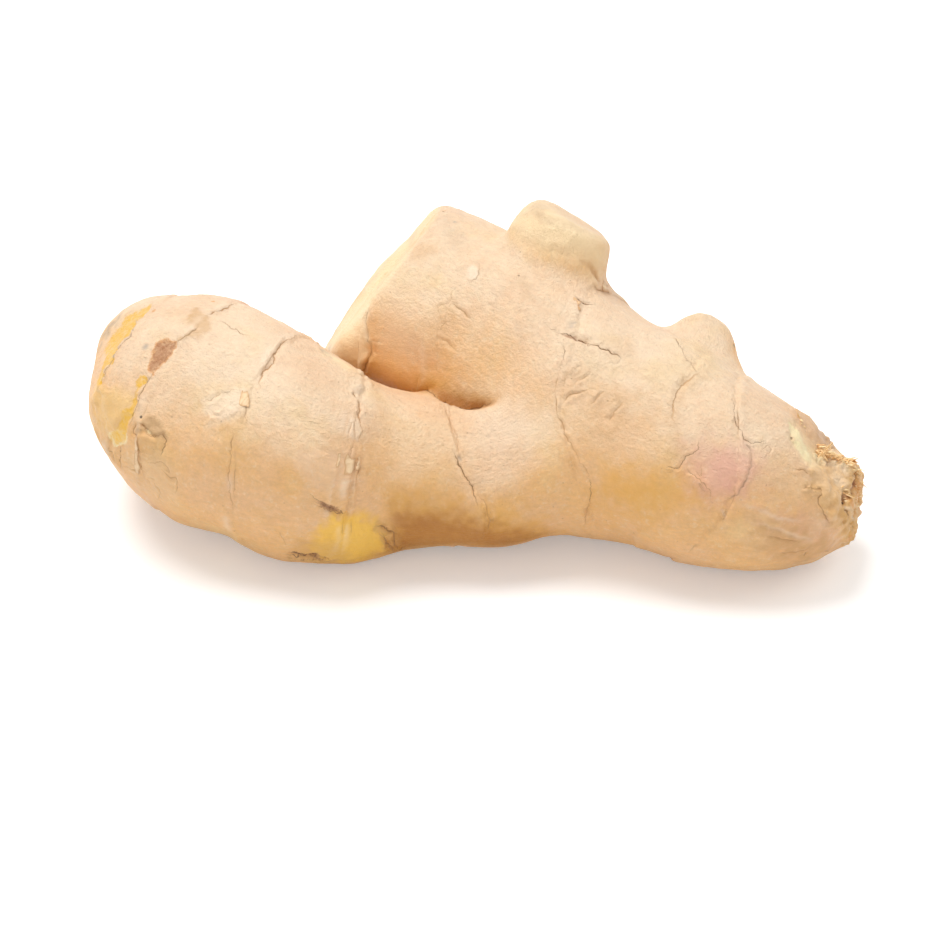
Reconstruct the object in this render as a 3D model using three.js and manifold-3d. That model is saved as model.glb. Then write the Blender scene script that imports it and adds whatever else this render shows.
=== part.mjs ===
// A fresh ginger root (rhizome): one grown piece, with a long front finger, a thick trunk that ends in an
// upper lobe, and short knobs. Millimetres, +Z up. It rests on the plane Z = 0 on three small flat spots,
// and the origin is under the middle of its outline. X runs along its length and Y from front to back.
import * as THREE from 'three';
import { mergeVertices } from 'three/addons/utils/BufferGeometryUtils.js';
import Module from 'manifold-3d';

// Where the origin lies, in the coordinates that the limbs are laid out in.
const ORIGIN = [0, 29.8, 0];

// Each limb is a round body swept along a smooth spine through its stations:
//   [x, y, z, radius, width of the saddle where it joins the rest].
// rings are the scars that leaf scales left round it: at is the place along the spine, lean tips the ring to
// the side and up, bow bends it twice round, lip is how far its edge stands out, and reach is how far it
// runs on over the saddle with another limb.
// cuts are healed flat faces: a point, the way it faces, and the rounding of its rim.
const LIMBS = [
  {
    name: 'trunk',
    stations: [
      [61.5, 4.3, 15.9, 14.1, 6],
      [50, 5.8, 17.8, 18.4, 6],
      [37, 12, 20.5, 20, 6],
      [24, 21.5, 22.5, 20.5, 6],
      [11, 32, 28.5, 20, 5],
      [-4, 42.9, 30.4, 19.3, 4],
      [-15, 50.4, 30.3, 20.5, 3],
      [-21, 53.2, 31.8, 20.7, 3],
    ],
    rings: [
      { at: 13.2, lean: [1.5, 0.2], bow: [-1.3, 3.2], lip: 0.7, reach: 4 },
      { at: 22.6, lean: [0.7, 0.4], bow: [-1.2, 0.8], lip: 0.45, reach: 4 },
      { at: 44, lean: [8, 7.5], bow: [-4.3, -0.3], lip: 0.7, reach: 14 },
      { at: 73.3, lean: [-0.1, 0.6], bow: [0, -1.7], lip: 0.6, reach: 4 },
      { at: 88, lean: [-0.3, 0.3], bow: [0.6, -1.2], lip: 0.7, reach: 4 },
    ],
    cuts: [
      { at: [-18.6, 51.9, 33.4], facing: [-0.785, 0.29, 0.547], round: 3 },
      { at: [69, 4.8, 22], facing: [0.78, 0.05, 0.63], round: 1.5 },
      { at: [74.6, 4, 12], facing: [0.97, -0.2, 0.06], round: 2.5 },
    ],
  },
  {
    name: 'torn stump',
    stations: [
      [62, 4, 14.5, 7.5, 3],
      [72, 3.6, 14.2, 8.4, 3],
    ],
    rings: [],
    cuts: [{ at: [74.6, 4, 12], facing: [0.97, -0.2, 0.06], round: 2.5 }],
  },
  {
    name: 'end bud',
    stations: [
      [-14, 51.9, 35.1, 3, 2],
      [-19, 46.4, 28.5, 5.6, 2],
      [-22.5, 42.9, 23, 6.8, 2],
      [-25.5, 41.9, 21.5, 4.5, 2],
    ],
    rings: [],
    cuts: [],
  },
  {
    name: 'front finger',
    stations: [
      [-64, 26, 24.3, 19.2, 3],
      [-53.5, 21, 23.7, 21.6, 3],
      [-42.4, 14.5, 22.2, 21.3, 3],
      [-32.8, 10.1, 20.3, 19.8, 3],
      [-22.5, 11.1, 18.2, 15.7, 2.5],
      [-12.9, 9.4, 16.2, 14.9, 5.5],
      [-5.1, 9.2, 15.4, 13.7, 8],
      [3, 9.5, 15.5, 13.7, 8],
      [14, 13, 18, 15, 9],
      [24, 18, 21, 15, 9],
    ],
    rings: [
      { at: -2.2, lean: [-0.7, 0.3], bow: [-1, -0.9], lip: 0.5, reach: 4 },
      { at: 10.6, lean: [-0.3, 0], bow: [-0.1, -0.5], lip: 0.5, reach: 4 },
      { at: 28.5, lean: [1.8, -2], bow: [0.6, -0.4], lip: 0.8, reach: 4 },
      { at: 43.6, lean: [0.1, -0.4], bow: [0.7, -0.4], lip: 0.8, reach: 4 },
      { at: 65.3, lean: [1.3, -0.9], bow: [2.4, 1], lip: 0.5, reach: 4 },
    ],
    cuts: [
      { at: [-77.3, 26, 28.8], facing: [-0.86, 0.1, 0.5], round: 10 },
      { at: [-75.1, 24, 17], facing: [-0.95, -0.1, -0.25], round: 8 },
    ],
  },
  {
    name: 'scar bump',
    stations: [
      [-35, 7, 11.4, 11.8, 5],
      [-23, 6.5, 10.8, 10.9, 5],
    ],
    rings: [],
    cuts: [],
  },
  {
    name: 'top knob',
    stations: [
      [14, 33, 34, 9, 3],
      [15.7, 39.8, 44, 10.5, 3],
      [17.4, 42.4, 49.6, 9.7, 3],
    ],
    rings: [],
    cuts: [{ at: [18.5, 43.7, 54], facing: [0.5, 0.32, 0.8], round: 2 }],
  },
  {
    name: 'back knob',
    stations: [
      [43.4, 15, 22, 9, 4],
      [44.1, 31, 31, 6.7, 4],
    ],
    rings: [],
    cuts: [],
  },
  {
    name: 'back stub',
    stations: [
      [14, 30, 18, 13, 8],
      [11.5, 50, 10.8, 11.5, 8],
    ],
    rings: [],
    cuts: [],
  },
];

// The skin's slow swells: [x, y, z] waves per millimetre, in radians, and their height in millimetres.
const SWELLS = [
  [0.21, 0.05, 0.09, 0.28],
  [-0.07, 0.24, 0.11, 0.26],
  [0.13, -0.17, 0.25, 0.22],
  [0.38, 0.21, -0.12, 0.15],
  [-0.29, 0.33, 0.2, 0.13],
  [0.11, 0.3, -0.42, 0.12],
];

const CELL = 2.95; // size of the grid cells that the skin is first drawn through
const FINE_CELL = 2; // their size across the narrow gap between the finger and the upper lobe
const GAP = new THREE.Box3(new THREE.Vector3(-28, 19, 17), new THREE.Vector3(0, 35, 33));
const SAMPLE = 1; // distance between the points that stand for a spine
const RING_ROWS = [0, 2.4]; // a ring's crest and the groove beside it, each drawn as a row of edges
const ROW_PULL = 1.2; // how near to a row a point is drawn to it

// The lower of two distances, with a round saddle of the given width where they are nearly equal.
function joined(a, b, width) {
  const near = Math.max(width - Math.abs(a - b), 0) / width;
  return Math.min(a, b) - (near * near * width) / 4;
}

// Height of a ring's skin x millimetres past it: a shallow waist, with a lip and a groove in its middle.
function ringRelief(x) {
  const lip = Math.exp(-((x / 1.4) ** 2));
  const groove = Math.exp(-(((x - 2.4) / 1.6) ** 2));
  const waist = Math.exp(-((x / 6) ** 2));
  return lip - 0.75 * groove - 0.6 * waist;
}

function smoothCurve(points) {
  return new THREE.CatmullRomCurve3(points, false, 'catmullrom');
}

function grow({ name, stations, rings, cuts }) {
  const centres = smoothCurve(stations.map(([x, y, z]) => new THREE.Vector3(x, y, z)));
  const sizes = smoothCurve(stations.map((s) => new THREE.Vector3(s[3], s[4], 0)));
  const count = Math.ceil(centres.getLength() / SAMPLE);
  const samples = [];
  let along = 0;
  for (let i = 0; i <= count; i++) {
    const centre = centres.getPoint(i / count);
    const tangent = centres.getTangent(i / count);
    const side = new THREE.Vector3().crossVectors(tangent, new THREE.Vector3(0, 0, 1)).normalize();
    const up = new THREE.Vector3().crossVectors(side, tangent);
    const [radius, join] = sizes.getPoint(i / count).toArray();
    if (i) along += centre.distanceTo(samples[i - 1].centre);
    samples.push({ centre, tangent, side, up, radius, join, along });
  }
  const faces = cuts.map(({ at, facing, round }) => ({
    at: new THREE.Vector3(...at),
    facing: new THREE.Vector3(...facing).normalize(),
    round,
  }));
  return { name, rings, faces, samples };
}

const limbs = LIMBS.map(grow);
const arm = new THREE.Vector3();

// The nearest part of a limb: how far p is from its skin, how far along it is, and which side it is on.
function nearest(limb, p) {
  let distance = Infinity;
  let sample;
  for (const s of limb.samples) {
    const here = p.distanceTo(s.centre) - s.radius;
    if (here < distance) {
      distance = here;
      sample = s;
    }
  }
  arm.subVectors(p, sample.centre);
  const along = sample.along + arm.dot(sample.tangent);
  const length = Math.max(arm.length(), 1e-6);
  return { distance, sample, along, side: arm.dot(sample.side) / length, up: arm.dot(sample.up) / length };
}

// How far the place is past a ring, measured along the limb.
function pastRing(ring, place) {
  const { side, up, along } = place;
  const bow = ring.bow[0] * (side * side - up * up) + ring.bow[1] * 2 * side * up;
  return along - ring.at - ring.lean[0] * side - ring.lean[1] * up - bow;
}

function swell(p) {
  let height = 0;
  for (let i = 0; i < SWELLS.length; i++) {
    const [x, y, z, size] = SWELLS[i];
    height += size * Math.sin(x * p.x + y * p.y + z * p.z + 1.7 * i);
  }
  return height;
}

function limbDistance(limb, p, place) {
  let d = place.distance;
  for (const face of limb.faces) {
    d = -joined(-d, -arm.subVectors(p, face.at).dot(face.facing), face.round);
  }
  return d;
}

// How much of a ring shows where its limb's own skin lies the given depth under the joined skin.
function ringShare(ring, depth) {
  return Math.max(1 - depth / ring.reach, 0) ** 2;
}

// Distance from p to the smooth joined limbs, with each limb's own distance and place.
function joinedLimbs(p) {
  let distance = Infinity;
  const parts = limbs.map((limb) => {
    const place = nearest(limb, p);
    const own = limbDistance(limb, p, place);
    distance = distance === Infinity ? own : joined(distance, own, place.sample.join);
    return { limb, place, own };
  });
  return { distance, parts };
}

// Distance from p to the whole skin, negative inside.
function field(p) {
  const { distance, parts } = joinedLimbs(p);
  let height = swell(p);
  for (const { limb, place, own } of parts) {
    for (const ring of limb.rings) {
      const share = ringShare(ring, own - distance);
      if (share > 0) height += share * ring.lip * ringRelief(pastRing(ring, place));
    }
  }
  return distance - height;
}

// Grid lines along one axis, closer together between fineFrom and fineTo.
function gridLines(from, to, fineFrom, fineTo) {
  const lines = [from];
  while (lines.at(-1) < to) {
    const here = lines.at(-1);
    lines.push(here + (here > fineFrom && here < fineTo ? FINE_CELL : CELL));
  }
  return lines;
}

// Draws the skin as one point in each grid cell that it passes through, and two triangles across each grid
// edge that it crosses.
function drawSkin() {
  const box = new THREE.Box3();
  for (const limb of limbs) {
    for (const s of limb.samples) {
      box.union(new THREE.Box3().setFromCenterAndSize(s.centre, new THREE.Vector3().setScalar(2.3 * s.radius)));
    }
  }
  box.expandByScalar(CELL);
  const lines = ['x', 'y', 'z'].map((a) => gridLines(box.min[a], box.max[a], GAP.min[a], GAP.max[a]));
  const [nx, ny, nz] = lines.map((l) => l.length);
  const id = (i, j, k) => i + nx * (j + ny * k);
  const place = (i, j, k) => new THREE.Vector3(lines[0][i], lines[1][j], lines[2][k]);
  const value = new Float64Array(nx * ny * nz);
  for (let k = 0; k < nz; k++) {
    for (let j = 0; j < ny; j++) {
      for (let i = 0; i < nx; i++) value[id(i, j, k)] = field(place(i, j, k));
    }
  }

  const AXES = [[1, 0, 0], [0, 1, 0], [0, 0, 1]];
  const points = [];
  const pointOf = new Map(); // from a cell's edge, numbered 8 * axis + its lower corner, to the cell's point
  const addCell = (i, j, k) => {
    const corner = (c) => [i + (c & 1), j + ((c >> 1) & 1), k + (c >> 2)];
    const inside = [0, 1, 2, 3, 4, 5, 6, 7].map((c) => value[id(...corner(c))] < 0);
    if (inside.every((v) => v === inside[0])) return;
    const sheet = new Map(); // crossed edge to the edges on the same sheet of skin
    for (let axis = 0; axis < 3; axis++) {
      for (let c = 0; c < 8; c++) {
        const far = c | (1 << axis);
        if (far !== c && inside[c] !== inside[far]) sheet.set(8 * axis + c, new Set([8 * axis + c]));
      }
    }
    const link = (a, b) => {
      const both = new Set([...sheet.get(a), ...sheet.get(b)]);
      both.forEach((edge) => sheet.set(edge, both));
    };
    for (let axis = 0; axis < 3; axis++) {
      const u = (axis + 1) % 3;
      const v = (axis + 2) % 3;
      for (const base of [0, 1 << axis]) {
        const round = [base, base | (1 << u), base | (1 << u) | (1 << v), base | (1 << v)];
        const edges = [8 * u + round[0], 8 * v + round[1], 8 * u + round[3], 8 * v + round[0]];
        const crossed = edges.filter((edge) => sheet.has(edge));
        if (crossed.length === 2) link(...crossed);
        if (crossed.length !== 4) continue;
        const first = inside[round[0]]; // two inside corners face each other: each keeps its own sheet
        link(edges[3], edges[first ? 0 : 2]);
        link(edges[1], edges[first ? 2 : 0]);
      }
    }
    for (const edges of new Set(sheet.values())) {
      const sum = new THREE.Vector3();
      for (const edge of edges) {
        const from = corner(edge & 7);
        const to = corner((edge & 7) | (1 << (edge >> 3)));
        const v0 = value[id(...from)];
        sum.add(place(...from).lerp(place(...to), v0 / (v0 - value[id(...to)])));
        pointOf.set(24 * id(i, j, k) + edge, points.length);
      }
      points.push(sum.divideScalar(edges.size));
    }
  };
  for (let k = 0; k < nz - 1; k++) {
    for (let j = 0; j < ny - 1; j++) {
      for (let i = 0; i < nx - 1; i++) addCell(i, j, k);
    }
  }

  const faces = [];
  const addQuad = (i, j, k, axis) => {
    const [di, dj, dk] = AXES[axis];
    const v0 = value[id(i, j, k)];
    const v1 = value[id(i + di, j + dj, k + dk)];
    if (v0 < 0 === v1 < 0) return;
    const [u, v] = [(axis + 1) % 3, (axis + 2) % 3];
    const quad = [[0, 0], [1, 0], [1, 1], [0, 1]].map(([a, b]) => {
      const [x, y, z] = [0, 1, 2].map((n) => a * AXES[u][n] + b * AXES[v][n]);
      return pointOf.get(24 * id(i - x, j - y, k - z) + 8 * axis + (a << u) + (b << v));
    });
    if (v0 >= 0) quad.reverse();
    const [a, b, c, d] = quad;
    const first = points[a].distanceTo(points[c]) < points[b].distanceTo(points[d]);
    faces.push(...(first ? [[a, b, c], [a, c, d]] : [[a, b, d], [b, c, d]]));
  };
  for (let k = 1; k < nz - 1; k++) {
    for (let j = 1; j < ny - 1; j++) {
      for (let i = 1; i < nx - 1; i++) [0, 1, 2].forEach((axis) => addQuad(i, j, k, axis));
    }
  }
  return { points, faces };
}

// Moves p on to the skin.
function pull(p, rounds = 3) {
  const e = 0.05;
  for (let i = 0; i < rounds; i++) {
    const d = field(p);
    const slope = new THREE.Vector3(
      field(new THREE.Vector3(p.x + e, p.y, p.z)) - d,
      field(new THREE.Vector3(p.x, p.y + e, p.z)) - d,
      field(new THREE.Vector3(p.x, p.y, p.z + e)) - d,
    ).divideScalar(e);
    p.addScaledVector(slope, -d / Math.max(slope.lengthSq(), 0.25));
  }
  return p;
}

// Draws p part of the way to the crest or the groove of a ring, so that edges come to follow them.
function drawToRings(p) {
  const { distance, parts } = joinedLimbs(p);
  for (const { limb, place, own } of parts) {
    for (const ring of limb.rings) {
      if (ringShare(ring, own - distance) < 0.1) continue;
      const past = pastRing(ring, place);
      for (const row of RING_ROWS) {
        if (Math.abs(past - row) < ROW_PULL) p.addScaledVector(place.sample.tangent, 0.5 * (row - past));
      }
    }
  }
}

// Evens out the triangles: each point moves towards the middle of its neighbours and back on to the skin.
function relax(mesh, rounds) {
  for (let round = 0; round < rounds; round++) {
    const sum = mesh.points.map(() => new THREE.Vector3());
    const count = mesh.points.map(() => 0);
    for (const face of mesh.faces) {
      for (let i = 0; i < 3; i++) {
        sum[face[i]].add(mesh.points[face[(i + 1) % 3]]);
        count[face[i]]++;
      }
    }
    mesh.points.forEach((p, i) => {
      p.lerp(sum[i].divideScalar(count[i]), 0.5);
      drawToRings(p);
      pull(p);
    });
  }
}

const skin = drawSkin();
relax(skin, 7);

// The solid is the skin with everything under Z = 0 taken off, which leaves the flat spots it rests on.
const wasm = await Module();
wasm.setup();
const solid = (positions, triangles) => new wasm.Manifold(new wasm.Mesh({
  numProp: 3,
  vertProperties: new Float32Array(positions),
  triVerts: new Uint32Array(triangles),
}));
const ground = new THREE.BoxGeometry(400, 400, 50).translate(0, 0, -25);
ground.deleteAttribute('normal');
ground.deleteAttribute('uv');
const slab = mergeVertices(ground);
const grown = solid(skin.points.flatMap((p) => p.toArray()), skin.faces.flat());
const trimmed = grown.subtract(solid(slab.attributes.position.array, slab.index.array)).getMesh();

const corners = new Float32Array(3 * trimmed.numVert);
for (let i = 0; i < trimmed.numVert; i++) {
  corners.set(trimmed.vertProperties.subarray(i * trimmed.numProp, i * trimmed.numProp + 3), 3 * i);
}
const geometry = new THREE.BufferGeometry();
geometry.setAttribute('position', new THREE.BufferAttribute(corners, 3));
geometry.setIndex(new THREE.BufferAttribute(trimmed.triVerts, 1));
geometry.translate(-ORIGIN[0], -ORIGIN[1], -ORIGIN[2]);

const ginger = new THREE.Mesh(geometry, new THREE.MeshStandardMaterial({ color: 0xe2c094, roughness: 0.6 }));
ginger.name = 'ginger_root';
const root = new THREE.Group();
root.add(ginger);
export default root;
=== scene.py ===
"""A fresh ginger root: its finely modelled skin, papery scale remnants and torn end, over the CAD solid.

The skin repeats the solid's own form, as limbs swept along spines, and adds the low relief that the solid
leaves out. Layout coordinates are millimetres, +Z up. The row frame is the same, moved by ORIGIN, in metres.
"""

import math
from collections import namedtuple

import bpy
import numpy as np
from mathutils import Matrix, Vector
from mathutils.bvhtree import BVHTree


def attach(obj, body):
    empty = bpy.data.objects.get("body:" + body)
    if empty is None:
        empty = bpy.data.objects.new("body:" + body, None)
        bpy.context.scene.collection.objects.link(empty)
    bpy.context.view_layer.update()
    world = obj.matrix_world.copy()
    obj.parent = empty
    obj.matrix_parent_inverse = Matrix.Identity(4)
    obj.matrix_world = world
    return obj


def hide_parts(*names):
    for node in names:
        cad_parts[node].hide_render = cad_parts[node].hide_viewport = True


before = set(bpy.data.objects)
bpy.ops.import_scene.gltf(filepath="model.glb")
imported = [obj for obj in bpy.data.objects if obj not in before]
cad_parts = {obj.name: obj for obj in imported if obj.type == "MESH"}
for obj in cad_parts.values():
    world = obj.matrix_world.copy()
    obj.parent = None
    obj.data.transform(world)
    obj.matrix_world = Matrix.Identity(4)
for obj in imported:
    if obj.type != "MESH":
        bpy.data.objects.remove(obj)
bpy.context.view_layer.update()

MM = 0.001
ORIGIN = np.array([0.0, 29.8, 0.0])
SEED = 11
TINY = 1e-9

# ---- The form: limbs, as in the solid ----

# stations: x, y, z, radius, width of the saddle where the limb joins the rest.
# rings: as in Ring. cuts: a place on the flat, the way it faces, and how round its rim is.
LIMBS = {
    "trunk": {
        "stations": [
            (61.5, 4.3, 15.9, 14.1, 6), (50, 5.8, 17.8, 18.4, 6), (37, 12, 20.5, 20, 6),
            (24, 21.5, 22.5, 20.5, 6), (11, 32, 28.5, 20, 5), (-4, 42.9, 30.4, 19.3, 4),
            (-15, 50.4, 30.3, 20.5, 3), (-21, 53.2, 31.8, 20.7, 3),
        ],
        "rings": [
            (13.2, (1.5, 0.2), (-1.3, 3.2), 0.5, 4, 1, 0.8, 0.2),
            (22.6, (0.7, 0.4), (-1.2, 0.8), 0.3, 4, 1, 0.1, 0.2),
            (44, (8, 7.5), (-4.3, -0.3), 0.4, 14, -1, 1, 0.5),
            (73.3, (-0.1, 0.6), (0, -1.7), 0.35, 4, 1, 0.15, 0.5),
            (88, (-0.3, 0.3), (0.6, -1.2), 0.5, 4, 1, 0.9, 0.2),
        ],
        "cuts": [
            ((-18.6, 51.9, 33.4), (-0.785, 0.29, 0.547), 3),
            ((69, 4.8, 22), (0.78, 0.05, 0.63), 1.5),
            ((74.6, 4, 12), (0.97, -0.2, 0.06), 2.5),
        ],
    },
    "torn stump": {
        "stations": [(62, 4, 14.5, 7.5, 3), (72, 3.6, 14.2, 8.4, 3)],
        "cuts": [((74.6, 4, 12), (0.97, -0.2, 0.06), 2.5)],
    },
    "end bud": {
        "stations": [
            (-14, 51.9, 35.1, 3, 2), (-19, 46.4, 28.5, 5.6, 2),
            (-22.5, 42.9, 23, 6.8, 2), (-25.5, 41.9, 21.5, 4.5, 2),
        ],
    },
    "front finger": {
        "stations": [
            (-64, 26, 24.3, 19.2, 3), (-53.5, 21, 23.7, 21.6, 3), (-42.4, 14.5, 22.2, 21.3, 3),
            (-32.8, 10.1, 20.3, 19.8, 3), (-22.5, 11.1, 18.2, 15.7, 2.5), (-12.9, 9.4, 16.2, 14.9, 5.5),
            (-5.1, 9.2, 15.4, 13.7, 8), (3, 9.5, 15.5, 13.7, 8), (14, 13, 18, 15, 9), (24, 18, 21, 15, 9),
        ],
        "rings": [
            (-2.2, (-0.7, 0.3), (-1, -0.9), 0.35, 4, 1, 0.1, 0.5),
            (10.6, (-0.3, 0), (-0.1, -0.5), 0.3, 4, 1, 0.15, 0.6),
            (28.5, (1.8, -2), (0.6, -0.4), 0.4, 4, 1, 0.5, 0.8),
            (43.6, (0.1, -0.4), (0.7, -0.4), 0.4, 1.5, 1, 0.4, 0.8),
            (65.3, (1.3, -0.9), (2.4, 1), 0.4, 4, 1, 0.4, 0.2),
        ],
        "cuts": [
            ((-77.3, 26, 28.8), (-0.86, 0.1, 0.5), 10),
            ((-75.1, 24, 17), (-0.95, -0.1, -0.25), 8),
        ],
    },
    "scar bump": {"stations": [(-35, 7, 11.4, 11.8, 5), (-23, 6.5, 10.8, 10.9, 5)]},
    "top knob": {
        "stations": [(14, 33, 34, 9, 3), (15.7, 39.8, 44, 10.5, 3), (17.4, 42.4, 49.6, 9.7, 3)],
        "cuts": [((18.5, 43.7, 54), (0.5, 0.32, 0.8), 2)],
    },
    "back knob": {"stations": [(43.4, 15, 22, 9, 4), (44.1, 31, 31, 6.7, 4)]},
    "back stub": {"stations": [(14, 30, 18, 13, 8), (11.5, 50, 10.8, 11.5, 8)]},
}

# A ring of a limb: its place along the spine, lean, bow, height of its lip, reach over a saddle, the side
# that its groove lies on, how dark its line is, and how much torn paper stands along it.
Ring = namedtuple("Ring", "at lean bow lip reach side dark paper")

# The skin's slow swells: waves per millimetre along x, y and z, in radians, and their height.
SWELLS = [
    (0.21, 0.05, 0.09, 0.28),
    (-0.07, 0.24, 0.11, 0.26),
    (0.13, -0.17, 0.25, 0.22),
    (0.38, 0.21, -0.12, 0.15),
    (-0.29, 0.33, 0.2, 0.13),
    (0.11, 0.3, -0.42, 0.12),
]

# The limbs whose spines the grain follows.
GRAINS = {
    "trunk": ("trunk",),
    "finger": ("front finger",),
    "knob": ("top knob", "back knob", "back stub"),
}


def bump(x, width):
    """1 where x is 0, falling off to either side over the given width."""
    return np.exp(-((x / width) ** 2))


def step(x, low, high):
    """0 below low, 1 above high, smooth between. low may be the higher of the two."""
    t = np.clip((x - low) / (high - low), 0, 1)
    return t * t * (3 - 2 * t)


def catmull(points, t):
    """A uniform Catmull-Rom curve through the points, at the places t from 0 to 1."""
    points = np.asarray(points, float)
    place = (len(points) - 1) * np.atleast_1d(t)
    i = np.minimum(np.floor(place).astype(int), len(points) - 2)
    w = (place - i)[:, None]
    ends = np.vstack([2 * points[0] - points[1], points, 2 * points[-1] - points[-2]])
    p0, p1, p2, p3 = ends[i], ends[i + 1], ends[i + 2], ends[i + 3]
    t0, t1 = (p2 - p0) / 2, (p3 - p1) / 2
    return p1 + t0 * w + (3 * (p2 - p1) - 2 * t0 - t1) * w**2 + (2 * (p1 - p2) + t0 + t1) * w**3


def unit(vectors):
    return vectors / np.maximum(np.linalg.norm(vectors, axis=1, keepdims=True), TINY)


# How far along a spine its direction is measured, as a share of its length.
NUDGE = 1e-4
# The least distance from a spine that a direction is taken at.
ON_AXIS = 1e-6
# Over how many millimetres a limb's samples share in the direction of the grain.
GRAIN_BLEND = 0.6
# How near to a limb's axis the grain at its end loses its direction.
GRAIN_POLE = 9.0


class Limb:
    """A round body swept along a smooth spine, held as samples a millimetre apart."""

    def __init__(self, name, stations, rings=(), cuts=()):
        stations = np.array(stations, float)
        draft = catmull(stations[:, :3], np.linspace(0, 1, 201))
        count = math.ceil(np.linalg.norm(np.diff(draft, axis=0), axis=1).sum())
        t = np.arange(count + 1) / count
        self.name, self.rings = name, [Ring(*ring) for ring in rings]
        self.centre = catmull(stations[:, :3], t)
        ahead = catmull(stations[:, :3], np.minimum(t + NUDGE, 1))
        behind = catmull(stations[:, :3], np.maximum(t - NUDGE, 0))
        self.tangent = unit(ahead - behind)
        self.side = unit(np.cross(self.tangent, (0, 0, 1)))
        self.up = np.cross(self.side, self.tangent)
        self.radius, self.join = catmull(stations[:, 3:], t).T
        gaps = np.linalg.norm(np.diff(self.centre, axis=0), axis=1)
        self.along = np.concatenate([[0], np.cumsum(gaps)])
        self.cuts = [(np.array(at), unit(np.array([facing]))[0], rim) for at, facing, rim in cuts]

    def gaps(self, points):
        """How far each point is from the ball round each sample."""
        squared = (points**2).sum(1)[:, None] + (self.centre**2).sum(1) - 2 * points @ self.centre.T
        return np.sqrt(np.maximum(squared, 0)) - self.radius

    def measure(self, points):
        """Distance from the limb's skin, width of its saddle, how far along, and how far to side and up."""
        i = self.gaps(points).argmin(1)
        arm = points - self.centre[i]
        length = np.maximum(np.linalg.norm(arm, axis=1), ON_AXIS)
        along = self.along[i] + (arm * self.tangent[i]).sum(1)
        side = (arm * self.side[i]).sum(1) / length
        up = (arm * self.up[i]).sum(1) / length
        distance = length - self.radius[i]
        for at, facing, rim in self.cuts:
            distance = -joined(-distance, -((points - at) @ facing), rim)
        return distance, self.join[i], along, side, up

    def grain_place(self, points):
        """How far along, to side and up each point is, as measure gives it but without sudden steps."""
        gap = self.gaps(points)
        weight = np.exp(-(gap - gap.min(1)[:, None]) / GRAIN_BLEND)
        weight /= weight.sum(1)[:, None]
        own = []
        for axis in (self.tangent, self.side, self.up):
            own.append((points * (weight @ axis)).sum(1) - weight @ (self.centre * axis).sum(1))
        length = np.sqrt(own[1] ** 2 + own[2] ** 2 + GRAIN_POLE**2)
        return np.stack([weight @ self.along + own[0], own[1] / length, own[2] / length], 1)


def joined(a, b, width):
    """The lower of two distances, with a round saddle where they are nearly equal."""
    near = np.maximum(width - np.abs(a - b), 0) / width
    return np.minimum(a, b) - near * near * width / 4


limbs = [Limb(name, **spec) for name, spec in LIMBS.items()]


def swell(points):
    return sum(
        size * np.sin(points @ np.array([x, y, z]) + 1.7 * i)
        for i, (x, y, z, size) in enumerate(SWELLS)
    )


def join_limbs(points):
    """Distance from the joined limbs, and each limb's own measures."""
    total, parts = None, []
    for limb in limbs:
        parts.append(limb.measure(points))
        own, width = parts[-1][:2]
        total = own if total is None else joined(total, own, width)
    return total, parts


def smooth_skin(points):
    return join_limbs(points)[0] - swell(points)


# How far from a point the skin's slope is measured, and the least square of a slope that counts.
PROBE = 0.05
LEAST_SLOPE = 0.25


def pull(points, rounds=3):
    """Moves the points on to the smooth skin."""
    for _ in range(rounds):
        d = smooth_skin(points)
        slope = np.stack([smooth_skin(points + PROBE * axis) - d for axis in np.eye(3)], 1) / PROBE
        points = points - slope * (d / np.maximum((slope**2).sum(1), LEAST_SLOPE))[:, None]
    return points


def lattice(cells, seed):
    """A number from -1 to 1 for each whole-numbered place."""
    h = cells[:, 0] * 73856093 ^ cells[:, 1] * 19349663 ^ cells[:, 2] * 83492791 ^ (seed + SEED) * 2654435
    h = (h ^ (h >> 13)) * 1274126177 & 0xFFFFFFFF
    h = (h ^ (h >> 16)) * 2246822519 & 0xFFFFFFFF
    return ((h ^ (h >> 15)) & 0xFFFFFF) / 0x7FFFFF - 1


def rough(points, size, seed=0, layers=1):
    """Smooth noise from about -1 to 1, with lumps of the given size in millimetres."""
    total, weight = 0, 1
    for layer in range(layers):
        place = points / size * 2**layer + 31.7 * (layer + seed % 17)
        cell = np.floor(place).astype(np.int64)
        f = place - cell
        f = f * f * f * (f * (f * 6 - 15) + 10)
        here = 0
        for corner in range(8):
            offset = np.array([corner & 1, corner >> 1 & 1, corner >> 2])
            share = np.where(offset, f, 1 - f).prod(1)
            here = here + share * lattice(cell + offset, seed + 101 * layer)
        total = total + weight * here
        weight *= 0.5
    return total


# ---- The mesh ----


def solid_mesh():
    """The CAD node's corners in layout millimetres, each once, and its triangles."""
    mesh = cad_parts["ginger_root"].data
    mesh.calc_loop_triangles()
    corners = np.zeros(len(mesh.vertices) * 3, np.float32)
    mesh.vertices.foreach_get("co", corners)
    triangles = np.zeros(len(mesh.loop_triangles) * 3, np.int32)
    mesh.loop_triangles.foreach_get("vertices", triangles)
    places, which = np.unique(np.round(corners.reshape(-1, 3), 6), axis=0, return_inverse=True)
    triangles = which.ravel()[triangles].reshape(-1, 3)
    whole = (triangles != np.roll(triangles, 1, 1)).all(1)
    return places.astype(float) / MM + ORIGIN, triangles[whole]


def rows(*columns):
    """The columns side by side, as rows of an array."""
    return np.stack(columns, 1)


def edges_of(triangles):
    """The two ends of each triangle's edges, in the way they run round it."""
    return np.stack([triangles, np.roll(triangles, -1, 1)], 2).reshape(-1, 2)


# How much longer than wanted an edge may be, and how far each round of easing moves a point.
LONG_EDGE = 1.35
EASING = 0.6


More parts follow.
